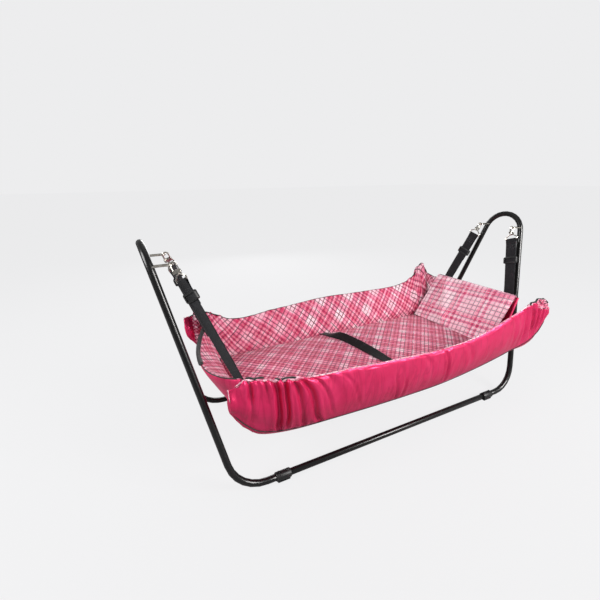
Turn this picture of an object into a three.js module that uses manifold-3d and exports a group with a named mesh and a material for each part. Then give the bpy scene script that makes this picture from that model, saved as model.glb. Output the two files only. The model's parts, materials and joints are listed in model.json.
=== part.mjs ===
import * as THREE from "three";
import { mergeVertices } from "three/addons/utils/BufferGeometryUtils.js";
import Module from "manifold-3d";

// Hanging baby cradle: a fabric basket slung on four webbing hangers between two leaning tube hoops.
// Millimetres, +X towards the head end, +Z up, origin on the floor under the middle of the frame.

const wasm = await Module();
wasm.setup();

// Clearances
const seatGap = 0.3; // between two pieces that touch
const cutOverrun = 4; // how far a cutter runs past what it cuts

// Tube frame
const tubeDiameter = 19;
const tubeWall = 1.2;
const frameLength = 1069; // between the corners where leg and rail centrelines would meet
const frameWidth = 422;
const hoopSlope = 635; // from those corners to the top of the arch, measured up the leaning hoop
const hoopLean = THREE.MathUtils.degToRad(11.92);
const archRadius = 74;
const bendRadius = 98;
const tubeSides = 12;
const tubeBoreSides = 6;
const boreSides = 8;

// Joint collars, which also stand on the floor
const collarCentre = 408; // from the middle of the frame
const collarLength = 44;
const collarDiameter = 25;
const collarChamfer = 1.5;
const soleWidth = 18;
const soleLength = 36;
const soleDrop = 1.5; // below the round of the collar
const tubeEndGap = 1;

// Collar bolts
const boltSpacing = 26;
const boltDiameter = 4;
const boltHeadDiameter = 9;
const boltHeadHeight = 3.2;
const boltTipInset = 2; // the tip stays above the sole

// Wire eyes on the legs
const eyeWire = 4;
const eyeReach = 50; // from the leg's centreline to the far end of the eye
const eyeInnerWidth = 10.5;
const eyeHeight = 577.5; // above the rail centreline
const eyeSpacing = 136; // between the two eyes of one hoop

// Snap hooks
const hookWire = 4.4;
const hookBowRadius = 7.2;
const hookPlay = 1.1; // between the bow and the eye, so that the hook can tip as it swings
const hookThroat = 13; // straight part of the hook, which the gate closes
const hookBlockWidth = 22;
const hookBlockThickness = 9;
const hookBlockHeight = 8;
const hookNose = 2.2;
const gateWidth = 4.6;
const gateThickness = 2.6;
const gateHubDiameter = 5.4;
const gatePinDiameter = 2.2;
const gateHeadDiameter = 4;
const gateHeadHeight = 0.8;
const swivelDiameter = 3.6;
const swivelHeadDiameter = 6.4;
const swivelHeadHeight = 1.8;
const swivelGap = 1; // between hook block and ring shoulder

// Webbing rings
const ringWire = 4;
const ringInnerWidth = 41;
const ringShoulderWidth = 15;
const ringHeight = 17;
const ringSideHeight = 7; // upright part of its sides, clear of the webbing's fold
const ringCorner = 4;
const ringCornerSteps = 3;

// Webbing
const webbingWidth = 38;
const webbingThickness = 1.6;
const layerGap = 0.4; // between the two layers of a doubled strap
const headDoubled = 112; // from the ring bar to the free end of the doubled layer
const footDoubled = 66;

// Strap adjusters
const adjusterWidth = 50;
const adjusterHeight = 24;
const adjusterBar = 5;
const adjusterBarThickness = 1.8;
const adjusterCorner = 5;
const adjusterFit = 0.6; // beside the webbing
const headAdjusterDrop = 78; // below the ring bar
const footAdjusterDrop = 42;

// Strap ends
const headStrapOut = 547; // where the head straps meet the top of the end wall
const headStrapSide = 141;
const headStrapHeight = 344.5;
const headStrapTail = 44; // sewn length down the end wall
const footStrapOut = 501;
const footStrapSide = 172;
const footStrapHeight = 306;
const footStrapTail = 22;
const headStandoff = 1.7; // between a sewn end and its wall, room to move as the basket swings
const footStandoff = 0.7;
const footStrapTurn = THREE.MathUtils.degToRad(25);

// Basket
const basketLift = 118.5; // lowest point of the side rolls above the rail centreline
const seamLift = 36; // floor panel's underside corner above the rolls' lowest point
const floorHalfLength = 470;
const floorHalfWidth = 187;
const floorCorner = 30;
const floorPanelThickness = 9;
const floorPanelSag = 8;
const boardThickness = 6;
const boardInset = 12;
const mattressThickness = 34;
const mattressCrown = 9;
const mattressInset = 3;
const mattressHeadGap = 14;
const mattressStations = 14;
const mattressStripes = 10;
const floorPanelStations = 10;
const floorPanelStripes = 6;
const crownEndPower = 6; // how late a crowned surface falls away towards its ends
const crownSidePower = 4;

// Side rolls
const frontRollFootEnd = 534;
const backRollFootEnd = 560;
const rollHeadEnd = 628;
const rollOuterHalfWidth = 252;
const rollHeight = 162;
const rollStations = 15; // along the smooth middle, with closer ones where it is gathered
const footGatherStations = 21;
const earGatherStations = 14;
const rollPoints = 18;
const gatherDepth = 4.2;
const gatherPitch = 24;
const gatherLength = 150;
const earGatherLength = 110;

// End walls and the head pad
const footWallOut = 556;
const footWallCornerOut = 500;
const footWallHeight = 157; // rim at the middle, above the rolls' lowest point
const footWallCornerHeight = 192;
const footWallThickness = 12;
const footWallSwell = 3;
const footWallCornerLift = 45;
const headWallLean = THREE.MathUtils.degToRad(19.2);
const headWallHeight = 228;
const headWallThickness = 6;
const headWallHalfWidth = 184;
const headPadOut = 532;
const headPadFootOut = 408;
const headPadHeight = 240;
const headPadHalfWidth = 180;
const headPadThickness = 18;
const headPadFold = 5;
const wallStations = 24;
const wallPoints = 12;

// Lap belt
const beltWidth = 30;
const beltThickness = 2;
const beltBackOut = -55; // along the length, where it leaves the back seam
const beltFrontOut = 26;
const beltTwist = THREE.MathUtils.degToRad(70);
const beltSteps = 20;

// Derived places
const tubeRadius = tubeDiameter / 2;
const railHeight = collarDiameter / 2 + soleDrop;
const lowestRoll = railHeight + basketLift;
const floorUnderside = lowestRoll + seamLift - floorPanelThickness;
const boardUnderside = floorUnderside + floorPanelThickness + seatGap;
const mattressUnderside = boardUnderside + boardThickness + seatGap;
const mattressTop = mattressUnderside + mattressThickness;

// Steps on curves
const stepsPerBend = 6;
const stepsPerArch = 12;
const roundSteps = 12;
const stepsPerCorner = 4;
const mergeDistance = 1e-4;

const up = new THREE.Vector3(0, 0, 1);
const vec = (x, y, z) => new THREE.Vector3(x, y, z);
const lerp = THREE.MathUtils.lerp;

function toSolid(geometry) {
  const bare = geometry.index ? geometry.toNonIndexed() : geometry.clone();
  for (const name of Object.keys(bare.attributes)) if (name !== "position") bare.deleteAttribute(name);
  const merged = mergeVertices(bare, mergeDistance);
  const mesh = new wasm.Mesh({
    numProp: 3,
    vertProperties: merged.attributes.position.array,
    triVerts: new Uint32Array(merged.index.array),
  });
  return new wasm.Manifold(mesh);
}

function toGeometry(solid) {
  const mesh = solid.getMesh();
  const geometry = new THREE.BufferGeometry();
  geometry.setAttribute("position", new THREE.BufferAttribute(mesh.vertProperties, 3));
  geometry.setIndex(new THREE.BufferAttribute(mesh.triVerts, 1));
  return geometry;
}

function join(...geometries) {
  return toGeometry(geometries.map(toSolid).reduce((a, b) => a.add(b)));
}

function cut(geometry, ...cutters) {
  return toGeometry(cutters.map(toSolid).reduce((a, b) => a.subtract(b), toSolid(geometry)));
}

// A path that hands the extrusion exactly the stations it is given, each with its own direction.
class StationPath extends THREE.Curve {
  constructor(stations) {
    super();
    this.stations = stations;
  }
  at(u) {
    return this.stations[Math.round(u * (this.stations.length - 1))];
  }
  getPointAt(u) {
    return this.at(u).point.clone();
  }
  getTangentAt(u) {
    return this.at(u).tangent.clone();
  }
}

function circle(radius, sides, turn = 0) {
  return Array.from({ length: sides }, (_, i) => {
    const a = turn + (2 * Math.PI * i) / sides;
    return new THREE.Vector2(radius * Math.cos(a), radius * Math.sin(a));
  });
}

function tubeAlong(stations, radius, sides, boreRadius = 0) {
  const shape = new THREE.Shape(circle(radius, sides));
  if (boreRadius) shape.holes.push(new THREE.Path(circle(boreRadius, tubeBoreSides)));
  return new THREE.ExtrudeGeometry(shape, {
    steps: stations.length - 1,
    extrudePath: new StationPath(stations),
  });
}

// Stations round a bend from one straight to the next, each given by the corner and its directions.
function bendStations(corner, dirIn, dirOut, radius, steps) {
  const turn = dirIn.angleTo(dirOut);
  const reach = radius * Math.tan(turn / 2);
  const start = corner.clone().addScaledVector(dirIn, -reach);
  const inward = dirOut.clone().addScaledVector(dirIn, -dirOut.dot(dirIn)).normalize();
  return Array.from({ length: steps + 1 }, (_, i) => {
    const a = (turn * i) / steps;
    return {
      point: start
        .clone()
        .addScaledVector(dirIn, radius * Math.sin(a))
        .addScaledVector(inward, radius * (1 - Math.cos(a))),
      tangent: dirIn.clone().multiplyScalar(Math.cos(a)).addScaledVector(inward, Math.sin(a)),
    };
  });
}

// Skins rings of points that run on into the first again.
function closedLoft(rings) {
  const count = rings[0].length;
  const total = rings.length * count;
  const faces = [];
  for (let r = 0; r < rings.length; r++)
    for (let k = 0; k < count; k++) {
      const [a, b] = [r * count + k, r * count + ((k + 1) % count)];
      const [c, d] = [(b + count) % total, (a + count) % total];
      faces.push([a, b, c], [a, c, d]);
    }
  const geometry = new THREE.BufferGeometry().setFromPoints(rings.flat());
  geometry.setIndex(faces.flat());
  return facingOut(geometry);
}

// Skins rings of points, which all run the same way round, and closes both ends with fans.
function loft(rings) {
  const count = rings[0].length;
  const points = rings.flat();
  const faces = [];
  for (let r = 0; r + 1 < rings.length; r++)
    for (let k = 0; k < count; k++) {
      const a = r * count + k;
      const b = r * count + ((k + 1) % count);
      faces.push([a, b, b + count], [a, b + count, a + count]);
    }
  for (const [ring, flip] of [[0, true], [rings.length - 1, false]]) {
    const hub = points.length;
    points.push(rings[ring].reduce((sum, p) => sum.add(p), vec(0, 0, 0)).divideScalar(count));
    for (let k = 0; k < count; k++) {
      const a = ring * count + k;
      const b = ring * count + ((k + 1) % count);
      faces.push(flip ? [hub, b, a] : [hub, a, b]);
    }
  }
  const geometry = new THREE.BufferGeometry().setFromPoints(points);
  geometry.setIndex(faces.flat());
  return facingOut(geometry);
}

function facingOut(geometry) {
  const p = geometry.attributes.position;
  const index = geometry.index.array;
  const [a, b, c] = [vec(0, 0, 0), vec(0, 0, 0), vec(0, 0, 0)];
  let volume = 0;
  for (let i = 0; i < index.length; i += 3) {
    a.fromBufferAttribute(p, index[i]);
    b.fromBufferAttribute(p, index[i + 1]);
    c.fromBufferAttribute(p, index[i + 2]);
    volume += a.dot(b.cross(c));
  }
  if (volume > 0) return geometry;
  for (let i = 0; i < index.length; i += 3) [index[i], index[i + 1]] = [index[i + 1], index[i]];
  return geometry;
}

// A smooth value along a table of [place share, value share] rows.
function follow(rows, share) {
  const last = rows.length - 1;
  const t = THREE.MathUtils.clamp(share, rows[0][0], rows[last][0]);
  let i = 0;
  while (i < last - 1 && t > rows[i + 1][0]) i++;
  const slope = (k) => {
    const lo = Math.max(k - 1, 0);
    const hi = Math.min(k + 1, last);
    return (rows[hi][1] - rows[lo][1]) / (rows[hi][0] - rows[lo][0]);
  };
  const width = rows[i + 1][0] - rows[i][0];
  const s = (t - rows[i][0]) / width;
  const [s2, s3] = [s * s, s * s * s];
  const start = (2 * s3 - 3 * s2 + 1) * rows[i][1] + (s3 - 2 * s2 + s) * width * slope(i);
  return start + (3 * s2 - 2 * s3) * rows[i + 1][1] + (s3 - s2) * width * slope(i + 1);
}

// A flat outline given a depth along Z.
function extruded(outline, depth) {
  return new THREE.ExtrudeGeometry(outline, { depth, bevelEnabled: false, curveSegments: stepsPerCorner });
}

function revolve(profile, sides) {
  const points = profile.map(([radius, height]) => new THREE.Vector2(radius, height));
  return new THREE.LatheGeometry(points, sides).rotateX(Math.PI / 2);
}

function rod(radius, from, to, sides) {
  const half = from.distanceTo(to) / 2;
  const turn = new THREE.Quaternion().setFromUnitVectors(vec(0, 1, 0), to.clone().sub(from).normalize());
  const geometry = new THREE.CylinderGeometry(radius, radius, 2 * half, sides);
  return geometry.applyQuaternion(turn).translate(...from.clone().lerp(to, 1 / 2).toArray());
}

function block(sizeX, sizeY, sizeZ, x, y, z) {
  return new THREE.BoxGeometry(sizeX, sizeY, sizeZ).translate(x, y, z);
}

// How far out along X the leaning hoop's plane lies at a height above the rail centreline.
function hoopOut(height) {
  return frameLength / 2 + height * Math.tan(hoopLean);
}

// The hoop's centreline: stub, bend, leg, arch, leg, bend, stub; out is 1 at the head and -1 at the foot.
function hoopStations(out) {
  const corner = (side) => vec((out * frameLength) / 2, (side * frameWidth) / 2, railHeight);
  const slopeUp = vec(out * Math.sin(hoopLean), 0, Math.cos(hoopLean));
  const archUp = hoopSlope - archRadius;
  const cornerReach = Math.hypot(frameWidth / 2, archUp);
  const archTurn = Math.PI - Math.atan2(frameWidth / 2, archUp) - Math.acos(archRadius / cornerReach);
  const archCentre = corner(0).addScaledVector(slopeUp, archUp);
  const arch = Array.from({ length: stepsPerArch + 1 }, (_, i) => {
    const a = lerp(-archTurn, archTurn, i / stepsPerArch);
    const sideways = vec(0, Math.sin(a), 0).addScaledVector(slopeUp, Math.cos(a));
    return {
      point: archCentre.clone().addScaledVector(sideways, archRadius),
      tangent: vec(0, Math.cos(a), 0).addScaledVector(slopeUp, -Math.sin(a)),
    };
  });
  const outward = vec(out, 0, 0);
  const stubEnd = (side) => vec(out * (collarCentre + tubeEndGap / 2), (side * frameWidth) / 2, railHeight);
  const legUp = arch[0].tangent;
  const legDown = arch[stepsPerArch].tangent;
  return [
    { point: stubEnd(-1), tangent: outward },
    ...bendStations(corner(-1), outward, legUp, bendRadius, stepsPerBend),
    ...arch,
    ...bendStations(corner(1), legDown, outward.clone().negate(), bendRadius, stepsPerBend),
    { point: stubEnd(1), tangent: outward.clone().negate() },
  ];
}

function boltPlace(out, side, onHoop) {
  const x = collarCentre + ((onHoop ? 1 : -1) * boltSpacing) / 2;
  return vec(out * x, (side * frameWidth) / 2, railHeight);
}

function boltHole(out, side, onHoop) {
  const place = boltPlace(out, side, onHoop);
  const reach = collarDiameter / 2 + soleDrop + cutOverrun;
  const from = place.clone().addScaledVector(up, -reach);
  return rod(boltDiameter / 2 + seatGap, from, place.clone().addScaledVector(up, reach), roundSteps);
}

function hoop(out) {
  const tube = tubeAlong(hoopStations(out), tubeRadius, tubeSides, tubeRadius - tubeWall);
  return cut(tube, boltHole(out, -1, true), boltHole(out, 1, true));
}

function rail(side) {
  const half = collarCentre - tubeEndGap / 2;
  const tubeEnd = (x) => ({ point: vec(x, (side * frameWidth) / 2, railHeight), tangent: vec(1, 0, 0) });
  const tube = tubeAlong([tubeEnd(-half), tubeEnd(half)], tubeRadius, tubeSides, tubeRadius - tubeWall);
  return cut(tube, boltHole(-1, side, false), boltHole(1, side, false));
}

// A sleeve over the two tube ends, with a flat sole that the cradle stands on.
function collar(out, side) {
  const [bore, outer, half] = [tubeRadius + seatGap, collarDiameter / 2, collarLength / 2];
  const [x, y] = [out * collarCentre, (side * frameWidth) / 2];
  const sleeve = revolve(
    [
      [bore, -half],
      [outer - collarChamfer, -half],
      [outer, collarChamfer - half],
      [outer, half - collarChamfer],
      [outer - collarChamfer, half],
      [bore, half],
      [bore, -half],
    ],
    2 * boreSides,
  );
  sleeve.rotateY(Math.PI / 2).translate(x, y, railHeight);
  const soleHeight = railHeight - bore;
  const sole = block(soleLength, soleWidth, soleHeight, x, y, soleHeight / 2);
  const run = half + cutOverrun;
  const core = rod(bore, vec(x - run, y, railHeight), vec(x + run, y, railHeight), 2 * boreSides);
  return cut(join(facingOut(sleeve), sole), core, boltHole(out, side, true), boltHole(out, side, false));
}

function bolt(out, side, onHoop) {
  const place = boltPlace(out, side, onHoop);
  const seat = railHeight + collarDiameter / 2 + seatGap;
  const [shank, head] = [boltDiameter / 2, boltHeadDiameter / 2];
  const profile = [
    [0, boltTipInset],
    [shank, boltTipInset],
    [shank, seat],
    [head, seat],
    [head, seat + boltHeadHeight / 3],
    [(head * 3) / 4, seat + (boltHeadHeight * 5) / 6],
    [0, seat + boltHeadHeight],
  ];
  return facingOut(revolve(profile, boreSides).translate(place.x, place.y, 0));
}

// The far bar of a wire eye, on which a hook hangs and swings.
function eyeBar(out, side) {
  return vec(out * (hoopOut(eyeHeight) - eyeReach), (side * eyeSpacing) / 2, railHeight + eyeHeight);
}

// A bent wire staple welded to the leg, its feet saddled to the tube.
function eye(out, side) {
  const bar = eyeBar(out, side);
  const halfWidth = (eyeInnerWidth + eyeWire) / 2;
  const inward = vec(-out, 0, 0);
  const root = (s) => bar.clone().add(vec(out * eyeReach, s * halfWidth, 0));
  const centre = bar.clone().addScaledVector(inward, -halfWidth);
  const round = Array.from({ length: boreSides + 1 }, (_, i) => {
    const a = (Math.PI * i) / boreSides;
    return {
      point: centre.clone().add(vec(-out * halfWidth * Math.sin(a), -halfWidth * Math.cos(a), 0)),
      tangent: vec(-out * Math.cos(a), Math.sin(a), 0),
    };
  });
  const stations = [
    { point: root(-1), tangent: inward },
    ...round,
    { point: root(1), tangent: inward.clone().negate() },
  ];
  const leg = tubeAlong(hoopStations(out), tubeRadius + seatGap, tubeSides);
  return cut(tubeAlong(stations, eyeWire / 2, boreSides), leg);
}

// A hanger's own axes: z up the strap to the eye, x across the webbing, y off its face.
function hangerAxes(out, side) {
  const isHead = out > 0;
  const low = isHead
    ? vec(headStrapOut, side * headStrapSide, railHeight + headStrapHeight)
    : vec(-footStrapOut, side * footStrapSide, railHeight + footStrapHeight);
  const top = eyeBar(out, side);
  const upward = top.clone().sub(low);
  const length = upward.length();
  upward.normalize();
  const across = vec(1, 0, 0).cross(upward).normalize().negate();
  if (!isHead) across.applyAxisAngle(upward, -side * footStrapTurn);
  return { top, length, upward, across, face: upward.clone().cross(across) };
}

function placed(axes) {
  const group = new THREE.Group();
  const turn = new THREE.Matrix4().makeBasis(axes.across, axes.face, axes.upward);
  group.quaternion.setFromRotationMatrix(turn);
  group.position.copy(axes.top);
  return group;
}

// The hook's axes: z as the hanger's, y along the eye's bar as nearly as the lean allows.
function hookAxes(out, side) {
  const { top, upward } = hangerAxes(out, side);
  const face = vec(0, out, 0);
  face.addScaledVector(upward, -face.dot(upward)).normalize();
  return { top, upward, face, across: face.clone().cross(upward) };
}

// Heights below the eye's bar, in the hook's axes
const bowCentre = -(hookBowRadius - (eyeWire + hookWire) / 2 - hookPlay);
const blockTop = bowCentre - hookThroat;
const blockUnderside = blockTop - hookBlockHeight;
const gatePivot = blockTop - gateHubDiameter / 2;
const ringShoulder = blockUnderside - swivelGap - ringWire / 2;
const ringBar = ringShoulder - ringHeight;

function hook() {
  const bow = Array.from({ length: roundSteps - 1 }, (_, i) => {
    const a = (Math.PI * i) / (roundSteps - 2);
    const outward = vec(Math.cos(a), 0, Math.sin(a));
    return {
      point: outward.clone().multiplyScalar(hookBowRadius).add(vec(0, 0, bowCentre)),
      tangent: vec(-Math.sin(a), 0, Math.cos(a)),
    };
  });
  const stations = [
    { point: vec(hookBowRadius, 0, gatePivot), tangent: up },
    ...bow,
    { point: vec(-hookBowRadius, 0, bowCentre - hookNose), tangent: vec(0, 0, -1) },
  ];
  const wire = tubeAlong(stations, hookWire / 2, boreSides);
  const outline = new THREE.Shape();
  const [halfWidth, endRadius] = [(hookBlockWidth - hookBlockThickness) / 2, hookBlockThickness / 2];
  outline.absarc(halfWidth, 0, endRadius, -Math.PI / 2, Math.PI / 2);
  outline.absarc(-halfWidth, 0, endRadius, Math.PI / 2, -Math.PI / 2);
  const body = extruded(outline, hookBlockHeight).translate(0, 0, blockUnderside);
  const slotWidth = gateWidth + 2 * seatGap;
  const slotFloor = gatePivot - gateHubDiameter / 2 - seatGap;
  const slotInner = -hookBowRadius + gateHubDiameter / 2 + seatGap;
  const slotRun = hookBlockWidth / 2 + cutOverrun;
  const slotTop = blockTop + cutOverrun;
  const slot = block(
    slotRun + slotInner,
    slotWidth,
    slotTop - slotFloor,
    (slotInner - slotRun) / 2,
    0,
    (slotTop + slotFloor) / 2,
  );
  const run = hookBlockThickness / 2 + cutOverrun;
  const pinAt = (y) => vec(-hookBowRadius, y, gatePivot);
  const pinHole = rod(gatePinDiameter / 2 + seatGap / 2, pinAt(-run), pinAt(run), boreSides);
  const deep = vec(0, 0, blockUnderside - cutOverrun);
  const swivelHole = rod(swivelDiameter / 2 + seatGap, deep, vec(0, 0, slotTop), boreSides);
  return cut(join(wire, body), slot, pinHole, swivelHole);
}

// The sprung tongue that closes the throat, on its hub.
function gate() {
  const tip = bowCentre - hookNose - seatGap - (hookWire - gateThickness) / 4;
  const tongue = block(gateThickness, gateWidth, tip - gatePivot, 0, 0, (tip - gatePivot) / 2);
  const half = gateWidth / 2;
  const hub = rod(gateHubDiameter / 2, vec(0, -half, 0), vec(0, half, 0), roundSteps);
  const run = half + cutOverrun;
  const hole = rod(gatePinDiameter / 2 + seatGap / 2, vec(0, -run, 0), vec(0, run, 0), boreSides);
  return cut(join(tongue, hub), hole);
}

function gatePin() {
  const inner = hookBlockThickness / 2 + seatGap;
  const outer = inner + gateHeadHeight;
  const [shank, head] = [gatePinDiameter / 2, gateHeadDiameter / 2];
  const profile = [
    [0, -outer],
    [head, -outer],
    [head, -inner],
    [shank, -inner],
    [shank, inner],
    [head, inner],
    [head, outer],
    [0, outer],
  ];
  return facingOut(revolve(profile, boreSides).rotateX(Math.PI / 2));
}

// A closed wire loop, narrow at its shoulder and wide at its bar, with the swivel stem on top.
function ring() {
  const corners = [
    [-(ringInnerWidth + ringWire) / 2, ringBar],
    [(ringInnerWidth + ringWire) / 2, ringBar],
    [(ringInnerWidth + ringWire) / 2, ringBar + ringSideHeight],
    [ringShoulderWidth / 2, ringShoulder],
    [-ringShoulderWidth / 2, ringShoulder],
    [-(ringInnerWidth + ringWire) / 2, ringBar + ringSideHeight],
  ].map(([x, z]) => vec(x, 0, z));
  const rings = corners.flatMap((corner, i) => {
    const before = corners[(i + corners.length - 1) % corners.length];
    const after = corners[(i + 1) % corners.length];
    const dirIn = corner.clone().sub(before).normalize();
    const dirOut = after.clone().sub(corner).normalize();
    return bendStations(corner, dirIn, dirOut, ringCorner, ringCornerSteps).map(({ point, tangent }) => {
      const off = tangent.clone().cross(vec(0, 1, 0));
      return circle(ringWire / 2, boreSides).map((p) =>
        point.clone().addScaledVector(off, p.x).addScaledVector(vec(0, 1, 0), p.y),
      );
    });
  });
  const [stem, head] = [swivelDiameter / 2, swivelHeadDiameter / 2];
  const seat = blockTop + seatGap;
  const profile = [
    [0, ringShoulder],
    [stem, ringShoulder],
    [stem, seat],
    [head, seat],
    [head, seat + swivelHeadHeight / 2],
    [head / 2, seat + swivelHeadHeight],
    [0, seat + swivelHeadHeight],
  ];
  return join(closedLoft(rings), facingOut(revolve(profile, boreSides)));
}

const webbingLayer = (layerGap + webbingThickness) / 2; // from a strap's middle to either layer's

// Where a strap's long layer meets its wall, with directions off the wall, down it and across.
function sewnEnd(out, side) {
  const { top, length, upward, across, face } = hangerAxes(out, side);
  const point = top.clone().addScaledVector(upward, -length).addScaledVector(face, webbingLayer);
  let normal = vec(Math.cos(headWallLean), 0, -Math.sin(headWallLean));
  if (out < 0) {
    const bow = (2 * (footWallOut - footWallCornerOut) * footStrapSide) / floorHalfWidth ** 2;
    const lean = (footStrapOut - floorHalfLength) / (railHeight + footStrapHeight - mattressTop);
    normal = vec(1, -side * bow, lean).normalize();
  }
  const down = upward.clone().negate();
  down.addScaledVector(normal, -down.dot(normal)).normalize();
  const sideways = normal.clone().cross(down);
  if (sideways.dot(across) < 0) sideways.negate();
  return { point, normal, down, sideways };
}

// The space a sewn end lies in, up to the flat land that its wall is pressed to.
function sewnSpace(out, side) {
  const { point, normal, down, sideways } = sewnEnd(out, side);
  const tail = out > 0 ? headStrapTail : footStrapTail;
  const size = vec(webbingWidth + 2 * cutOverrun, webbingWidth, 2 * (tail + cutOverrun));
  const turn = new THREE.Matrix4().makeBasis(sideways, normal, sideways.clone().cross(normal));
  const standoff = out > 0 ? headStandoff : footStandoff;
  const centre = point.clone().addScaledVector(normal, size.y / 2 - webbingThickness / 2 - standoff);
  const space = new THREE.BoxGeometry(...size.toArray());
  return space.applyMatrix4(turn.setPosition(centre));
}

// The four corners of a flat band's section.
function bandCorners(centre, across, off, width, thickness) {
  return [
    [-1, 1],
    [1, 1],
    [1, -1],
    [-1, -1],
  ].map(([a, b]) =>
    centre
      .clone()
      .addScaledVector(across, (a * width) / 2)
      .addScaledVector(off, (b * thickness) / 2),
  );
}

// Webbing folded over the ring's bar: a short layer behind, the long one in front down to the basket.
function strap(out, side) {
  const axes = hangerAxes(out, side);
  const isHead = out > 0;
  const [doubled, tail] = isHead ? [headDoubled, headStrapTail] : [footDoubled, footStrapTail];
  const fold = ringWire / 2 + seatGap + webbingThickness / 2;
  const merge = ringBar - ringInnerWidth / 2;
  const round = Array.from({ length: boreSides + 1 }, (_, i) => {
    const a = Math.PI - (Math.PI * i) / boreSides;
    return [fold * Math.cos(a), ringBar + fold * Math.sin(a)];
  });
  const line = [
    [-webbingLayer, ringBar - doubled],
    [-webbingLayer, (ringBar - doubled + merge) / 2],
    [-webbingLayer, merge],
    ...round,
    [webbingLayer, merge],
    [webbingLayer, -axes.length / 2],
    [webbingLayer, webbingWidth - axes.length],
  ].map(([y, z]) => new THREE.Vector2(y, z));
  const rings = line.map((p, i) => {
    const ahead = line[Math.min(i + 1, line.length - 1)];
    const behind = line[Math.max(i - 1, 0)];
    const along = ahead.clone().sub(behind).normalize();
    const off = vec(0, along.y, -along.x);
    return bandCorners(vec(0, p.x, p.y), vec(1, 0, 0), off, webbingWidth, webbingThickness);
  });
  const { point, normal, down, sideways } = sewnEnd(out, side);
  const local = (v) => vec(v.dot(axes.across), v.dot(axes.face), v.dot(axes.upward));
  const start = local(point.clone().sub(axes.top));
  const end = start.clone().addScaledVector(local(down), tail);
  for (const centre of [start, end])
    rings.push(bandCorners(centre, local(sideways), local(normal), webbingWidth, webbingThickness));
  return loft(rings);
}

// A three-bar adjuster: two bars in front of the webbing, one behind, joined by its sides.
function adjuster() {
  const stack = webbingThickness + layerGap / 2 + seatGap;
  const depth = stack + adjusterBarThickness;
  const [x, z, r] = [adjusterWidth / 2, adjusterHeight / 2, adjusterCorner];
  const outline = new THREE.Shape();
  outline.absarc(x - r, z - r, r, 0, Math.PI / 2);
  outline.absarc(r - x, z - r, r, Math.PI / 2, Math.PI);
  outline.absarc(r - x, r - z, r, Math.PI, (3 * Math.PI) / 2);
  outline.absarc(x - r, r - z, r, (3 * Math.PI) / 2, 2 * Math.PI);
  const plate = extruded(outline, 2 * depth).rotateX(Math.PI / 2).translate(0, depth, 0);
  const tunnelWidth = webbingWidth + 2 * adjusterFit;
  const run = adjusterHeight + 2 * cutOverrun;
  const tunnel = block(tunnelWidth, 2 * stack, run, 0, 0, 0);
  const windowDepth = adjusterBarThickness + cutOverrun;
  const front = block(
    tunnelWidth,
    windowDepth,
    adjusterHeight - 2 * adjusterBar,
    0,
    stack + windowDepth / 2,
    0,
  );
  const half = (run - adjusterBar) / 2;
  const back = [-1, 1].map((s) =>
    block(tunnelWidth, windowDepth, half, 0, -stack - windowDepth / 2, (s * (half + adjusterBar)) / 2),
  );
  return cut(plate, tunnel, front, ...back);
}

// Side rolls: place shares run from the foot end to the head end.
const frontLowShares = [
  [0, 0.66],
  [0.03, 0.34],
  [0.06, 0.15],
  [0.12, 0.05],
  [0.21, 0.02],
  [0.45, 0],
  [0.6, 0.01],
  [0.8, 0.13],
  [0.91, 0.29],
  [0.97, 0.58],
  [1, 0.96],
];
const backLowShares = [
  [0, 1.02],
  [0.03, 0.7],
  [0.06, 0.36],
  [0.12, 0.13],
  [0.21, 0.05],
  [0.45, 0],
  [0.6, 0.01],
  [0.8, 0.13],
  [0.91, 0.29],
  [0.97, 0.58],
  [1, 0.96],
];
const frontRimShares = [
  [0, 1.06],
  [0.035, 1.2],
  [0.12, 1.09],
  [0.3, 1.05],
  [0.465, 0.985],
  [0.65, 0.965],
  [0.83, 1.22],
  [0.9, 1.37],
  [0.955, 1.45],
  [1, 1.2],
];
const backRimShares = [
  [0, 1.36],
  [0.05, 1.42],
  [0.14, 1.1],
  [0.3, 1.15],
  [0.44, 1.2],
  [0.65, 1.18],
  [0.78, 1.2],
  [0.84, 1.38],
  [0.875, 1.74],
  [0.91, 1.42],
  [1, 1.12],
];
const rollOuterShares = [
  [0, 0.79],
  [0.035, 0.83],
  [0.08, 0.88],
  [0.2, 0.95],
  [0.45, 1],
  [0.75, 0.985],
  [0.9, 0.965],
  [1, 0.97],
];
const rollInnerShares = [
  [0, 1.01],
  [0.05, 1],
  [0.1, 0.985],
  [0.5, 0.98],
  [0.86, 0.985],
  [0.9, 1.08],
  [0.94, 1.21],
  [1, 1.26],
];
// Section of a roll, as [share outwards, share upwards]
const rollSectionShares = [
  [0.27, 0],
  [0.66, 0.11],
  [0.86, 0.36],
  [0.97, 0.74],
  [1, 0.93],
  [0.93, 1],
  [0.82, 0.95],
  [0.58, 0.74],
  [0.07, 0.45],
  [0, 0.22],
  [0.05, 0.05],
];

function rollFootEnd(side) {
  return side < 0 ? frontRollFootEnd : backRollFootEnd;
}

function gatherAt(side, x) {
  const wave = Math.cos((2 * Math.PI * x) / gatherPitch);
  const nearFoot = 1 - THREE.MathUtils.smoothstep(x + rollFootEnd(side), gatherLength / 4, gatherLength);
  const nearHead = 1 - THREE.MathUtils.smoothstep(rollHeadEnd - x, earGatherLength / 4, earGatherLength);
  return gatherDepth * wave * Math.max(nearFoot, nearHead);
}

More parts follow.
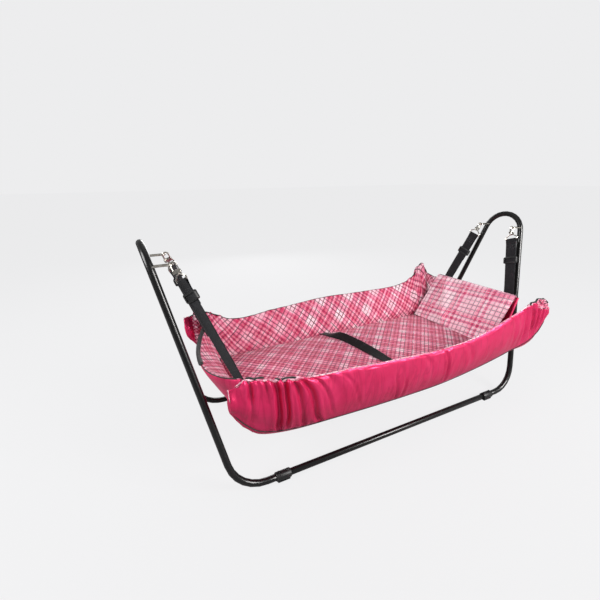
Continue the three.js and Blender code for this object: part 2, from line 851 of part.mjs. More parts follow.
function rollRing(side, x, grow) {
  const share = (x + rollFootEnd(side)) / (rollFootEnd(side) + rollHeadEnd);
  const [lows, rims] = side < 0 ? [frontLowShares, frontRimShares] : [backLowShares, backRimShares];
  const low = lowestRoll + rollHeight * follow(lows, share);
  const high = lowestRoll + rollHeight * follow(rims, share);
  const inner = floorHalfWidth * follow(rollInnerShares, share);
  const outer = rollOuterHalfWidth * follow(rollOuterShares, share);
  const knots = rollSectionShares.map(([o, h]) => {
    const fold = gatherAt(side, x) * o * Math.sqrt(h);
    return vec(x, side * (lerp(inner, outer, o) + fold), lerp(low, high, h));
  });
  const outline = new THREE.CatmullRomCurve3(knots, true, "centripetal");
  const ring = Array.from({ length: rollPoints }, (_, k) => outline.getPoint(k / rollPoints));
  if (!grow) return ring;
  const hub = ring.reduce((sum, p) => sum.add(p), vec(0, 0, 0)).divideScalar(rollPoints);
  return ring.map((p) => p.clone().add(p.clone().sub(hub).setLength(grow)));
}

function rollBody(side, grow = 0) {
  const footGathers = gatherLength - rollFootEnd(side);
  const headGathers = rollHeadEnd - earGatherLength;
  const rings = [];
  for (const [from, to, count] of [
    [-rollFootEnd(side), footGathers, footGatherStations],
    [footGathers, headGathers, rollStations],
    [headGathers, rollHeadEnd, earGatherStations],
  ])
    for (let i = 0; i < count; i++) rings.push(rollRing(side, lerp(from, to, i / count), grow));
  rings.push(rollRing(side, rollHeadEnd, grow));
  return loft(rings);
}

function floorOutline(inset) {
  const [x, y, r] = [floorHalfLength - inset, floorHalfWidth - inset, floorCorner];
  const outline = new THREE.Shape();
  outline.absarc(x - r, y - r, r, 0, Math.PI / 2);
  outline.absarc(r - x, y - r, r, Math.PI / 2, Math.PI);
  outline.absarc(r - x, r - y, r, Math.PI, (3 * Math.PI) / 2);
  outline.absarc(x - r, r - y, r, (3 * Math.PI) / 2, 2 * Math.PI);
  return outline;
}

function floorSlab(inset, from, to) {
  return extruded(floorOutline(inset), to - from).translate(0, 0, from);
}

// The space that the floor pieces fill, which the walls are cut back from.
function floorSpace() {
  return floorSlab(-seatGap, lowestRoll - cutOverrun, mattressTop + cutOverrun);
}

function sideRoll(side) {
  return cut(rollBody(side), floorSpace(), sewnSpace(-1, side), sewnSpace(1, side));
}

// Height of a crowned top or sagging underside: full in the middle, nothing at the edges.
function crown(x, y, halfLength, halfWidth) {
  const [sx, sy] = [x / halfLength, y / halfWidth];
  return Math.max(0, 1 - sx ** crownEndPower) * Math.max(0, 1 - sy ** crownSidePower);
}

// A flat cushion lofted along X between two surfaces, with its corners drawn in.
function cushion(from, to, halfWidth, stations, stripes, under, over) {
  const rings = [];
  for (let i = 0; i <= stations; i++) {
    const x = lerp(from, to, (1 - Math.cos((Math.PI * i) / stations)) / 2);
    const edge = Math.min(x - from, to - x);
    const short = Math.max(0, floorCorner - edge);
    const inset = floorCorner - Math.sqrt(Math.max(0, floorCorner ** 2 - short ** 2));
    const half = halfWidth - inset;
    const top = [];
    const bottom = [];
    for (let k = 0; k <= stripes; k++) {
      const y = lerp(-half, half, k / stripes);
      top.push(vec(x, y, over(x, y)));
      bottom.unshift(vec(x, y, under(x, y)));
    }
    rings.push([...top, ...bottom]);
  }
  return loft(rings);
}

function floorPanel() {
  const top = floorUnderside + floorPanelThickness;
  return cushion(
    -floorHalfLength,
    floorHalfLength,
    floorHalfWidth,
    floorPanelStations,
    floorPanelStripes,
    (x, y) => floorUnderside - floorPanelSag * crown(x, y, floorHalfLength, floorHalfWidth),
    () => top,
  );
}

function baseBoard() {
  return floorSlab(boardInset, boardUnderside, boardUnderside + boardThickness);
}

const mattressFrom = mattressInset - floorHalfLength;
const mattressTo = floorHalfLength - mattressHeadGap;

function mattressTopAt(x, y) {
  const middle = (mattressFrom + mattressTo) / 2;
  const shape = crown(x - middle, y, (mattressTo - mattressFrom) / 2, floorHalfWidth - mattressInset);
  return mattressTop - mattressCrown * (1 - shape);
}

function mattress(grow = 0) {
  return cushion(
    mattressFrom - grow,
    mattressTo + grow,
    floorHalfWidth - mattressInset + grow,
    mattressStations,
    mattressStripes,
    () => mattressUnderside - grow,
    (x, y) => mattressTopAt(x, y) + grow,
  );
}

// A padded panel across the basket: foot and rim give its lower and upper edges at each place along Y.
function crossPanel(halfWidth, foot, rim, thickness) {
  const rings = [];
  for (let i = 0; i <= wallStations; i++) {
    const y = lerp(-halfWidth, halfWidth, i / wallStations);
    const [low, high] = [foot(y), rim(y)];
    const axis = high.clone().sub(low);
    const off = vec(0, 1, 0).cross(axis).normalize();
    const middle = low.clone().lerp(high, 1 / 2);
    rings.push(
      Array.from({ length: wallPoints }, (_, k) => {
        const a = (2 * Math.PI * k) / wallPoints;
        const [c, s] = [Math.cos(a), Math.sin(a)];
        const swell = Math.sign(s) * Math.sqrt(Math.abs(s)) * thickness(y);
        return middle.clone().addScaledVector(axis, c / 2).addScaledVector(off, swell / 2);
      }),
    );
  }
  return loft(rings);
}

// The foot end: an upright skirt beside the floor, then a padded slope out to a rim that bows outwards.
function footWall() {
  const rings = [];
  const reach = floorHalfWidth + cutOverrun;
  for (let i = 0; i <= wallStations; i++) {
    const y = lerp(-reach, reach, i / wallStations);
    const t = Math.min(1, (y / floorHalfWidth) ** 2);
    const rimHeight = lowestRoll + lerp(footWallHeight, footWallCornerHeight, t);
    const rim = vec(-lerp(footWallOut, footWallCornerOut, t), y, rimHeight);
    const low = floorUnderside + footWallCornerLift * t ** 3;
    const insideLow = vec(cutOverrun - floorHalfLength, y, low);
    const insideBend = vec(cutOverrun - floorHalfLength, y, mattressTop - mattressCrown);
    const outsideLow = vec(-floorHalfLength - footWallThickness, y, low);
    const slope = rim.clone().sub(outsideLow).normalize();
    const off = vec(0, 1, 0).cross(slope).normalize();
    const half = footWallThickness / 2;
    const at = (from, to, share, swell) => from.clone().lerp(to, share).addScaledVector(off, swell);
    const innerRim = rim.clone().addScaledVector(off, half).addScaledVector(slope, -half);
    const outerRim = rim.clone().addScaledVector(off, -half).addScaledVector(slope, -half);
    rings.push([
      insideLow,
      insideBend,
      at(insideBend, innerRim, 1 / 3, footWallSwell),
      at(insideBend, innerRim, 2 / 3, footWallSwell),
      innerRim,
      rim,
      outerRim,
      at(outerRim, outsideLow, 1 / 3, -footWallSwell),
      at(outerRim, outsideLow, 2 / 3, -footWallSwell),
      outsideLow,
    ]);
  }
  const spaces = [sewnSpace(-1, -1), sewnSpace(-1, 1)];
  return cut(loft(rings), floorSpace(), rollBody(-1, seatGap), rollBody(1, seatGap), ...spaces);
}

// A flat padded plate behind the head pad, whose outer face carries the sewn ends of the head straps.
function headWallPlate(grow) {
  const { point, normal } = sewnEnd(1, 1);
  const slope = vec(Math.sin(headWallLean), 0, Math.cos(headWallLean));
  const depth = webbingThickness / 2 + headStandoff + headWallThickness / 2;
  const onCentre = point.clone().addScaledVector(normal, -depth);
  const at = (z) => onCentre.clone().addScaledVector(slope, (z - onCentre.z) / slope.z);
  const radius = headWallThickness / 2 + grow;
  const rim = at(lowestRoll + headWallHeight - headWallThickness / 2);
  const foot = at(floorUnderside - grow);
  const outline = new THREE.Shape();
  outline.moveTo(foot.x - normal.x * radius, foot.z - normal.z * radius);
  outline.lineTo(foot.x + normal.x * radius, foot.z + normal.z * radius);
  outline.absarc(rim.x, rim.z, radius, -headWallLean, Math.PI - headWallLean);
  const half = headWallHalfWidth + grow;
  return extruded(outline, 2 * half).rotateX(Math.PI / 2).translate(0, half, 0);
}

function headWall() {
  return cut(headWallPlate(0), floorSpace(), rollBody(-1, seatGap), rollBody(1, seatGap));
}

// The pad that leans on the head wall, with the soft fold that runs down it.
const padFoldShare = 0.63; // of its half width, towards the back
const padFoldWidthShare = 0.09;
const padEdgePower = 8; // how late its thickness falls away towards its sides

function headPad() {
  const fold = (y) => {
    const t = (y / headPadHalfWidth - padFoldShare) / padFoldWidthShare;
    return headPadFold * Math.exp(-t * t);
  };
  const foot = (y) => vec(headPadFootOut + fold(y), y, mattressTop - mattressCrown);
  const rim = (y) => vec(headPadOut, y, lowestRoll + headPadHeight - headPadThickness / 4);
  const reach = headPadHalfWidth + headPadThickness;
  const edge = (y) => Math.sqrt(Math.max(0, 1 - (y / reach) ** padEdgePower));
  const panel = crossPanel(headPadHalfWidth, foot, rim, (y) => headPadThickness * edge(y) - fold(y));
  return cut(panel, mattress(seatGap), rollBody(-1, seatGap), rollBody(1, seatGap), headWallPlate(seatGap));
}

// The lap belt lies across the mattress from seam to seam and twists before it reaches the front.
const [beltTwistFromShare, beltTwistMostShare, beltTwistToShare] = [0.6, 0.8, 0.96];

function lapBelt() {
  const half = floorHalfWidth - seatGap;
  const rings = [];
  for (let i = 0; i <= beltSteps; i++) {
    const share = i / beltSteps;
    const rise = THREE.MathUtils.smoothstep(share, beltTwistFromShare, beltTwistMostShare);
    const fall = THREE.MathUtils.smoothstep(share, beltTwistMostShare, beltTwistToShare);
    const turn = beltTwist * (rise - fall);
    const x = lerp(beltBackOut, beltFrontOut, share);
    const y = lerp(half, -half, share);
    const rest = mattressTopAt(x, y) + seatGap + beltThickness / 2;
    const lowest = mattressTop - mattressCrown + beltThickness;
    const z = Math.max(rest, lowest) + (beltWidth / 2) * Math.sin(turn);
    const across = vec(Math.cos(turn), 0, Math.sin(turn));
    const off = vec(-Math.sin(turn), 0, Math.cos(turn));
    rings.push(bandCorners(vec(x, y, z), across, off, beltWidth, beltThickness));
  }
  return loft(rings);
}

const finishes = {
  blackEnamel: { color: 0x0c0c0d, roughness: 0.25, metalness: 0.4 },
  blackPlastic: { color: 0x141415, roughness: 0.45, metalness: 0 },
  nickel: { color: 0xc9c5b8, roughness: 0.25, metalness: 1 },
  charcoalWebbing: { color: 0x2f3033, roughness: 0.85, metalness: 0 },
  pinkSatin: { color: 0xd3245c, roughness: 0.45, metalness: 0 },
  pinkPlaid: { color: 0xe58aa6, roughness: 0.85, metalness: 0 },
  fibreBoard: { color: 0x8d6a45, roughness: 0.8, metalness: 0 },
};

function piece(name, geometry, finish) {
  const mesh = new THREE.Mesh(geometry, new THREE.MeshStandardMaterial(finishes[finish]));
  mesh.name = name;
  return mesh;
}

const cradle = new THREE.Group();
const ends = [
  ["head", 1],
  ["foot", -1],
];
const sides = [
  ["front", -1],
  ["back", 1],
];

for (const [side, s] of sides) cradle.add(piece(`rail_${side}`, rail(s), "blackEnamel"));
for (const [end, out] of ends) cradle.add(piece(`hoop_${end}`, hoop(out), "blackEnamel"));

for (const [end, out] of ends)
  for (const [side, s] of sides) {
    const corner = `${end}_${side}`;
    cradle.add(
      piece(`collar_${corner}`, collar(out, s), "blackPlastic"),
      piece(`hoop_bolt_${corner}`, bolt(out, s, true), "blackEnamel"),
      piece(`rail_bolt_${corner}`, bolt(out, s, false), "blackEnamel"),
      piece(`eye_${corner}`, eye(out, s), "nickel"),
    );
    const swung = placed(hookAxes(out, s));
    const pivot = new THREE.Group();
    pivot.position.set(-hookBowRadius, 0, gatePivot);
    pivot.add(piece(`gate_${corner}`, gate(), "nickel"), piece(`gate_pin_${corner}`, gatePin(), "nickel"));
    swung.add(piece(`hook_${corner}`, hook(), "nickel"), pivot);
    const hanger = placed(hangerAxes(out, s));
    const slider = piece(`adjuster_${corner}`, adjuster(), "blackPlastic");
    slider.position.z = ringBar - (out > 0 ? headAdjusterDrop : footAdjusterDrop);
    hanger.add(
      piece(`ring_${corner}`, ring(), "nickel"),
      piece(`strap_${corner}`, strap(out, s), "charcoalWebbing"),
      slider,
    );
    cradle.add(swung, hanger);
  }

cradle.add(
  piece("floor_panel", floorPanel(), "pinkSatin"),
  piece("base_board", baseBoard(), "fibreBoard"),
  piece("mattress", mattress(), "pinkPlaid"),
  piece("roll_front", sideRoll(-1), "pinkSatin"),
  piece("roll_back", sideRoll(1), "pinkSatin"),
  piece("foot_wall", footWall(), "pinkSatin"),
  piece("head_wall", headWall(), "pinkSatin"),
  piece("head_pad", headPad(), "pinkPlaid"),
  piece("lap_belt", lapBelt(), "charcoalWebbing"),
);

export default cradle;
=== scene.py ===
import json
import math

import bmesh
import bpy
import numpy as np
from mathutils import Matrix, Vector, noise

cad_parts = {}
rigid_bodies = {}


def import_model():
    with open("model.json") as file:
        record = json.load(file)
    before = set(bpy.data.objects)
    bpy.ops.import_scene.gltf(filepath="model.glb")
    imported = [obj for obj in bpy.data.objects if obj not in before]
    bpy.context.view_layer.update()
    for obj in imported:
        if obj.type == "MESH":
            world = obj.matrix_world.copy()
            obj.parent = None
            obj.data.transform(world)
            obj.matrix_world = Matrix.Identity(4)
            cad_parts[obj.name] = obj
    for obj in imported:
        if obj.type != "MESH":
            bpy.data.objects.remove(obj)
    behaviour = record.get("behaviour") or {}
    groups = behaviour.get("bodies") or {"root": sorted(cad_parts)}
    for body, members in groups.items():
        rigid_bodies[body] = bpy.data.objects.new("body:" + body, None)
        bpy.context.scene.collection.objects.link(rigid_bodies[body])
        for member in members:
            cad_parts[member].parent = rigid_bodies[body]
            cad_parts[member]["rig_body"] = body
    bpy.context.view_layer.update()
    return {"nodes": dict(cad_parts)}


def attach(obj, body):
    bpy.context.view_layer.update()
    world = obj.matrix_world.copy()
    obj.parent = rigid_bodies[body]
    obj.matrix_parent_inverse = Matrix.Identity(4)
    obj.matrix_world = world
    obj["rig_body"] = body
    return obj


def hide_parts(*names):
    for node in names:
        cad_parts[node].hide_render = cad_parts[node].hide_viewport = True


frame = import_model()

mm = 0.001  # the settings below are in millimetres, Blender works in metres
nodes = frame["nodes"]
print("cradle frame loaded:", len(nodes), "parts")


# Small tools

def follow(rows, share):
    # smooth value along a table of (place share, value share) rows
    last = len(rows) - 1
    t = min(max(share, rows[0][0]), rows[last][0])
    i = 0
    while i < last - 1 and t > rows[i + 1][0]:
        i += 1

    def slope(k):
        lo, hi = max(k - 1, 0), min(k + 1, last)
        return (rows[hi][1] - rows[lo][1]) / (rows[hi][0] - rows[lo][0])

    (x0, y0), (x1, y1) = rows[i], rows[i + 1]
    w = x1 - x0
    s = (t - x0) / w
    return (
        y0 * (1 + 2 * s) * (1 - s) ** 2
        + y1 * s * s * (3 - 2 * s)
        + w * slope(i) * s * (1 - s) ** 2
        + w * slope(i + 1) * s * s * (s - 1)
    )


def ease(value, start, end):
    t = min(max((value - start) / (end - start), 0), 1)
    return t * t * (3 - 2 * t)


def blendTo(a, b, share):
    return a + (b - a) * share


def roundLine(knots, count):
    # evenly stepped points on a smooth closed line through flat knots
    total = len(knots)
    points = []
    for step in range(count):
        place = step * total / count
        k = int(place) % total
        t = place - int(place)
        p = [knots[(k + d) % total] for d in (-1, 0, 1, 2)]
        gap = [max((p[n + 1] - p[n]).length ** 0.5, 1e-6) for n in range(3)]
        out = []
        for axis in range(2):
            a, b, c, d = (q[axis] for q in p)
            m1 = ((b - a) / gap[0] - (c - a) / (gap[0] + gap[1]) + (c - b) / gap[1]) * gap[1]
            m2 = ((c - b) / gap[1] - (d - b) / (gap[1] + gap[2]) + (d - c) / gap[2]) * gap[1]
            out.append(
                b + m1 * t + (-3 * b + 3 * c - 2 * m1 - m2) * t * t + (2 * b - 2 * c + m1 + m2) * t**3
            )
        points.append(out)
    return points


def objectFrom(shape, name, finishes, smooth=True):
    mesh = bpy.data.meshes.new(name)
    shape.to_mesh(mesh)
    shape.free()
    for finish in finishes:
        mesh.materials.append(finish)
    for face in mesh.polygons:
        face.use_smooth = smooth
    made = bpy.data.objects.new(name, mesh)
    bpy.context.scene.collection.objects.link(made)
    return made


def clothGrid(columns, rows):
    # a flat piece of cloth, one unit wide and long, with a UV map for drape to fit
    shape = bmesh.new()
    bmesh.ops.create_grid(shape, x_segments=columns, y_segments=rows, size=0.5)
    shape.loops.layers.uv.new("Weave")
    return shape


def drape(shape, pointAt):
    # sends each vertex of a flat cloth, at shares (u, v), to its place, and fits its UV map in metres
    shares = [(vert.co.x + 0.5, vert.co.y + 0.5) for vert in shape.verts]
    columns, rows = (sorted({round(share[axis], 5) for share in shares}) for axis in (0, 1))
    columnAt, rowAt = {u: i for i, u in enumerate(columns)}, {v: j for j, v in enumerate(rows)}
    grid = np.zeros((len(columns), len(rows), 3))
    cells = []
    for vert, (u, v) in zip(shape.verts, shares):
        vert.co = pointAt(u, v)
        cell = columnAt[round(u, 5)], rowAt[round(v, 5)]
        grid[cell] = vert.co
        cells.append(cell)
    columnSteps = np.linalg.norm(np.diff(grid, axis=0), axis=2).mean(axis=1)
    rowSteps = np.linalg.norm(np.diff(grid, axis=1), axis=2).mean(axis=0)
    across, along = np.append(0, np.cumsum(columnSteps)), np.append(0, np.cumsum(rowSteps))
    weave = shape.loops.layers.uv["Weave"]
    shape.verts.index_update()
    for face in shape.faces:
        for corner in face.loops:
            i, j = cells[corner.vert.index]
            corner[weave].uv = (across[i], along[j])


def closeUp(shape, gap=1e-6):
    bmesh.ops.remove_doubles(shape, verts=shape.verts, dist=gap)
    bmesh.ops.recalc_face_normals(shape, faces=shape.faces)


clothSettings = {
    "frames": 20,
    "quality": 6,
    "mass": 0.12,
    "tension": 12,
    "bending": 0.02,
    "airDamping": 2.0,
}


def settleCloth(piece, growth, pressure, cap):
    # stuffs the closed cloth: it grows where it is slack, is held at its seams and is blown up
    s = clothSettings
    bpy.context.view_layer.update()
    rest = np.array([v.co for v in piece.data.vertices])
    cloth = piece.modifiers.new("Stuffing", "CLOTH")
    rules = cloth.settings
    rules.quality, rules.mass, rules.air_damping = s["quality"], s["mass"], s["airDamping"]
    rules.tension_stiffness = rules.compression_stiffness = s["tension"]
    rules.shear_stiffness, rules.bending_stiffness = s["tension"] / 2, s["bending"]
    rules.use_pressure, rules.uniform_pressure_force = True, pressure
    rules.shrink_min, rules.shrink_max = 0, -growth
    rules.vertex_group_shrink = "slack"
    rules.vertex_group_mass = "seam"
    rules.pin_stiffness = 1.0
    rules.effector_weights.gravity = 0
    cloth.collision_settings.use_collision = False
    cloth.point_cache.frame_start, cloth.point_cache.frame_end = 1, s["frames"]
    for step in range(1, s["frames"] + 1):
        bpy.context.scene.frame_set(step)
    depsgraph = bpy.context.evaluated_depsgraph_get()
    settled = piece.evaluated_get(depsgraph).to_mesh()
    moved = np.array([v.co for v in settled.vertices]) - rest
    piece.evaluated_get(depsgraph).to_mesh_clear()
    piece.modifiers.remove(cloth)
    size = np.linalg.norm(moved, axis=1, keepdims=True)
    moved *= np.minimum(1, cap * mm / np.maximum(size, 1e-9))
    piece.data.vertices.foreach_set("co", (rest + moved).ravel())
    piece.data.update()
    bpy.context.scene.frame_set(1)


# Finishes

class Signal:
    # a node's output that takes part in sums
    def __init__(self, finish, socket):
        self.finish, self.socket = finish, socket

    def work(self, operation, first, second=None):
        values = {0: first} if second is None else {0: first, 1: second}
        return self.finish.node("ShaderNodeMath", {"operation": operation}, values)

    def __add__(self, other):
        return self.work("ADD", self, other)

    def __radd__(self, other):
        return self.work("ADD", other, self)

    def __sub__(self, other):
        return self.work("SUBTRACT", self, other)

    def __rsub__(self, other):
        return self.work("SUBTRACT", other, self)

    def __mul__(self, other):
        return self.work("MULTIPLY", self, other)

    def __rmul__(self, other):
        return self.work("MULTIPLY", other, self)

    def __truediv__(self, other):
        return self.work("DIVIDE", self, other)

    def __rtruediv__(self, other):
        return self.work("DIVIDE", other, self)

    def __mod__(self, other):
        return self.work("FLOORED_MODULO", self, other)

    def __abs__(self):
        return self.work("ABSOLUTE", self)

    def sine(self):
        return self.work("SINE", self)

    def whole(self):
        return self.work("FLOOR", self)

    def fraction(self):
        return self.work("FRACT", self)

    def atLeast(self, other):
        return self.work("MAXIMUM", self, other)

    def atMost(self, other):
        return self.work("MINIMUM", self, other)


class Finish:
    # one material, with its surface node and helpers for what drives it
    def __init__(self, name, **plain):
        self.material = bpy.data.materials.new(name)
        self.material.use_nodes = True
        self.tree = self.material.node_tree
        self.tree.nodes.clear()
        self.surface = self.tree.nodes.new("ShaderNodeBsdfPrincipled")
        self.end = self.tree.nodes.new("ShaderNodeOutputMaterial")
        self.tree.links.new(self.surface.outputs[0], self.end.inputs[0])
        for name, value in plain.items():
            self.surface.inputs[name.replace("_", " ")].default_value = value

    def put(self, socket, value):
        if isinstance(value, Signal):
            self.tree.links.new(value.socket, socket)
        else:
            socket.default_value = value

    def node(self, kind, settings=None, values=None, output=0):
        made = self.tree.nodes.new(kind)
        for name, value in (settings or {}).items():
            if name == "stops":
                line = made.color_ramp
                while len(line.elements) < len(value):
                    line.elements.new(1)
                for stop, (place, colour) in zip(line.elements, value):
                    stop.position, stop.color = place, colour
            else:
                setattr(made, name, value)
        for name, value in (values or {}).items():
            self.put(made.inputs[name], value)
        return Signal(self, made.outputs[output])

    def drive(self, socketName, value):
        self.put(self.surface.inputs[socketName], value)

    def objectPlace(self):
        return self.node("ShaderNodeTexCoord", output="Object")

    def weavePlace(self):
        return self.node("ShaderNodeUVMap", {"uv_map": "Weave"})

    def turned(self, place, turn=(0, 0, 0), scale=(1, 1, 1), shift=(0, 0, 0)):
        return self.node(
            "ShaderNodeMapping", {}, {"Vector": place, "Rotation": turn, "Scale": scale, "Location": shift}
        )

    def parts(self, place):
        split = self.node("ShaderNodeSeparateXYZ", {}, {0: place})
        outs = split.socket.node.outputs
        return Signal(self, outs[0]), Signal(self, outs[1]), Signal(self, outs[2])

    def cloud(self, place, scale, detail=2, roughness=0.5, distortion=0):
        grain = {"Scale": scale, "Detail": detail, "Roughness": roughness, "Distortion": distortion}
        return self.node("ShaderNodeTexNoise", {}, {"Vector": place, **grain})

    def spread(self, value, low, high, fromLow=0, fromHigh=1):
        return self.node(
            "ShaderNodeMapRange",
            {"interpolation_type": "SMOOTHSTEP"},
            {0: value, 1: fromLow, 2: fromHigh, 3: low, 4: high},
        )

    def tint(self, share, a, b):
        return self.node("ShaderNodeMix", {"data_type": "RGBA"}, {0: share, 6: a, 7: b}, output=2)

    def relief(self, height, distance, strength=1.0, onto=None):
        values = {"Height": height, "Distance": distance, "Strength": strength}
        if onto is not None:
            values["Normal"] = onto
        return self.node("ShaderNodeBump", {}, values)


def colour(red, green, blue):
    # from screen values 0-255 to the linear values that Blender mixes
    def linear(c):
        c /= 255
        return c / 12.92 if c <= 0.04045 else ((c + 0.055) / 1.055) ** 2.4

    return (linear(red), linear(green), linear(blue), 1)


enamelSettings = {
    "black": colour(13, 13, 14),
    "worn": colour(46, 46, 48),
    "roughness": 0.26,
    "orangePeel": 0.00002,
}


def enamelFinish():
    look = enamelSettings
    finish = Finish("blackEnamel", Specular_IOR_Level=0.35, Coat_Weight=0.25, Coat_Roughness=0.1)
    place = finish.objectPlace()
    scuffs = finish.spread(finish.cloud(place, 55, 5, 0.65), 0, 1, 0.62, 0.74)
    dust = finish.spread(finish.cloud(place, 240, 3, 0.6), 0, 1, 0.66, 0.8)
    finish.drive("Base Color", finish.tint(scuffs * 0.35 + dust * 0.25, look["black"], look["worn"]))
    finish.drive("Roughness", scuffs * 0.16 + finish.cloud(place, 18, 3) * 0.08 + look["roughness"])
    finish.drive("Normal", finish.relief(finish.cloud(place, 420, 2), look["orangePeel"], 0.5))
    return finish.material


plasticSettings = {
    "black": colour(20, 20, 21),
    "dusty": colour(52, 52, 54),
    "roughness": 0.42,
    "grainScale": 1500,
    "grainDepth": 0.00008,
}


def plasticFinish():
    look = plasticSettings
    finish = Finish("blackPlastic")
    place = finish.objectPlace()
    grain = finish.node(
        "ShaderNodeTexVoronoi", {"feature": "F1"}, {"Vector": place, "Scale": look["grainScale"]}
    )
    patches = finish.cloud(place, 38, 4, 0.6)
    dust = finish.spread(patches, 0, 0.35, 0.45, 0.75)
    finish.drive("Base Color", finish.tint(dust, look["black"], look["dusty"]))
    finish.drive("Roughness", patches * 0.2 + look["roughness"] - 0.08)
    finish.drive("Normal", finish.relief(grain, look["grainDepth"], 0.45))
    return finish.material


nickelSettings = {
    "bright": colour(214, 210, 202),
    "dull": colour(146, 140, 130),
    "roughness": 0.08,
    "scratchDepth": 0.00003,
}


def nickelFinish():
    look = nickelSettings
    finish = Finish("nickelPlate", Metallic=1.0)
    place = finish.objectPlace()
    clouds = finish.cloud(place, 90, 4, 0.6)
    lines = finish.cloud(finish.turned(place, scale=(900, 900, 60)), 1, 3, 0.6)
    dulled = finish.spread(clouds, 0, 0.7, 0.42, 0.7)
    finish.drive("Base Color", finish.tint(dulled, look["bright"], look["dull"]))
    finish.drive("Roughness", clouds * 0.22 + lines * 0.12 + look["roughness"])
    finish.drive("Normal", finish.relief(lines, look["scratchDepth"], 0.5))
    return finish.material


webbingSettings = {
    "thread": colour(35, 35, 39),
    # the valley colour is painted shade in the hollows of the weave
    "valley": colour(15, 15, 18),
    "fuzz": colour(58, 58, 64),
    "ribPitch": 1.9 * mm,
    "pickPitch": 1.3 * mm,
    "depth": 0.0003,
}


def webbingFinish(name="charcoalWebbing", shade=1.0):
    look = webbingSettings
    finish = Finish(name, Roughness=0.8, Specular_IOR_Level=0.25, Sheen_Weight=0.1, Sheen_Roughness=0.5)
    along, across, _ = finish.parts(finish.weavePlace())
    zig = abs(((across / (4 * look["ribPitch"])) % 1) - 0.5) * 4 * look["ribPitch"]
    ribs = ((along + zig) * (2 * math.pi / look["pickPitch"])).sine() * 0.5 + 0.5
    cords = (across * (2 * math.pi / look["ribPitch"])).sine() * 0.5 + 0.5
    weave = ribs * 0.6 + cords * 0.4
    wear = finish.cloud(finish.weavePlace(), 60, 4, 0.6)
    thread = tuple(c * shade for c in look["thread"][:3]) + (1,)
    valley = tuple(c * shade for c in look["valley"][:3]) + (1,)
    # painted shade: the weave is darker where its bump is low
    body = finish.tint(weave, valley, thread)
    finish.drive("Base Color", finish.tint(finish.spread(wear, 0, 0.35, 0.5, 0.8), body, look["fuzz"]))
    finish.drive("Roughness", weave * -0.15 + 0.88)
    finish.drive("Normal", finish.relief(weave, look["depth"], 0.8))
    return finish.material


satinSettings = {
    "pink": colour(216, 36, 92),
    # the next colour is painted shade, laid into the satin's creases
    "deep": colour(166, 12, 58),
    "bloom": colour(230, 50, 108),
    "threadPitch": 0.55 * mm,
    "threadDepth": 0.00004,
    "crease": 1.1 * mm,
    "shortCrease": 0.0006,
    "roughness": 0.27,
}


def satinFinish():
    look = satinSettings
    finish = Finish(
        "pinkSatin",
        Metallic=0.42,
        Sheen_Weight=0.18,
        Sheen_Roughness=0.3,
        Sheen_Tint=(1.0, 0.42, 0.62, 1),
        Specular_IOR_Level=0.8,
        Specular_Tint=(1.0, 0.55, 0.7, 1),
        Coat_Weight=0.12,
        Coat_Roughness=0.24,
    )
    place = finish.objectPlace()
    weave = finish.weavePlace()
    along, across, _ = finish.parts(weave)
    threadTurn = 2 * math.pi / look["threadPitch"]
    threads = (along * threadTurn).sine() * (across * threadTurn).sine()
    slub = finish.cloud(finish.turned(weave, scale=(14, 260, 1)), 1, 3, 0.6)
    patches = finish.cloud(place, 14, 4, 0.6)
    long = finish.cloud(finish.turned(weave, (0, 0, 0.6), scale=(34, 7, 1)), 1, 3, 0.5, 0.7)
    short = finish.cloud(finish.turned(weave, (0, 0, -0.3), scale=(90, 24, 1)), 1, 3, 0.6, 0.5)
    creases = abs(long - 0.5) * 2
    body = finish.tint(finish.spread(patches, 0, 0.6, 0.4, 0.7), look["pink"], look["bloom"])
    # painted shade: the satin is darkened along the noise crease lines that its bump presses in
    body = finish.tint(finish.spread(creases, 0.3, 0, 0.0, 0.12), body, look["deep"])
    finish.drive("Base Color", body)
    finish.drive("Roughness", slub * 0.1 + patches * 0.1 + look["roughness"])
    folds = finish.relief(creases.atMost(0.3), look["crease"], 0.6)
    folds = finish.relief(short, look["shortCrease"], 0.5, folds)
    finish.drive("Normal", finish.relief(threads, look["threadDepth"], 0.5, folds))
    return finish.material


plaidSettings = {
    "pink": colour(198, 42, 92),
    "rose": colour(226, 116, 150),
    "pale": colour(246, 232, 236),
    "line": colour(66, 22, 40),
    "period": 92 * mm,
    "linePitch": 15 * mm,
    "lineShare": 0.2,
    "wander": 2.4 * mm,
    "threadPitch": 0.9 * mm,
    "threadDepth": 0.00012,
    "creaseDepth": 0.0018,
}
plaidCloths = {
    "plaidWalls": {"turn": 45, "enlarged": 1.0, "bandShare": 0.42, "lines": 0.95, "bright": 0.3},
    # the mattress plaid is the walls' cloth at a slightly smaller scale, with narrower pale bands and
    # fainter pale lines: painted shade for the mattress lying low in the basket
    "plaidMattress": {"turn": 45, "enlarged": 0.9, "bandShare": 0.34, "lines": 0.95, "bright": 0.25},
    # the pad plaid is the same cloth run square and larger, with lighter colours, wider pale bands and
    # stronger pale lines: painted light for the head pad
    "plaidPad": {
        "turn": 4,
        "enlarged": 1.25,
        "bandShare": 0.68,
        "lines": 0.62,
        "lineShare": 0.17,
        "bright": 0.55,
        "pink": colour(222, 58, 112),
        "rose": colour(246, 146, 178),
        "pale": colour(255, 250, 252),
    },
}


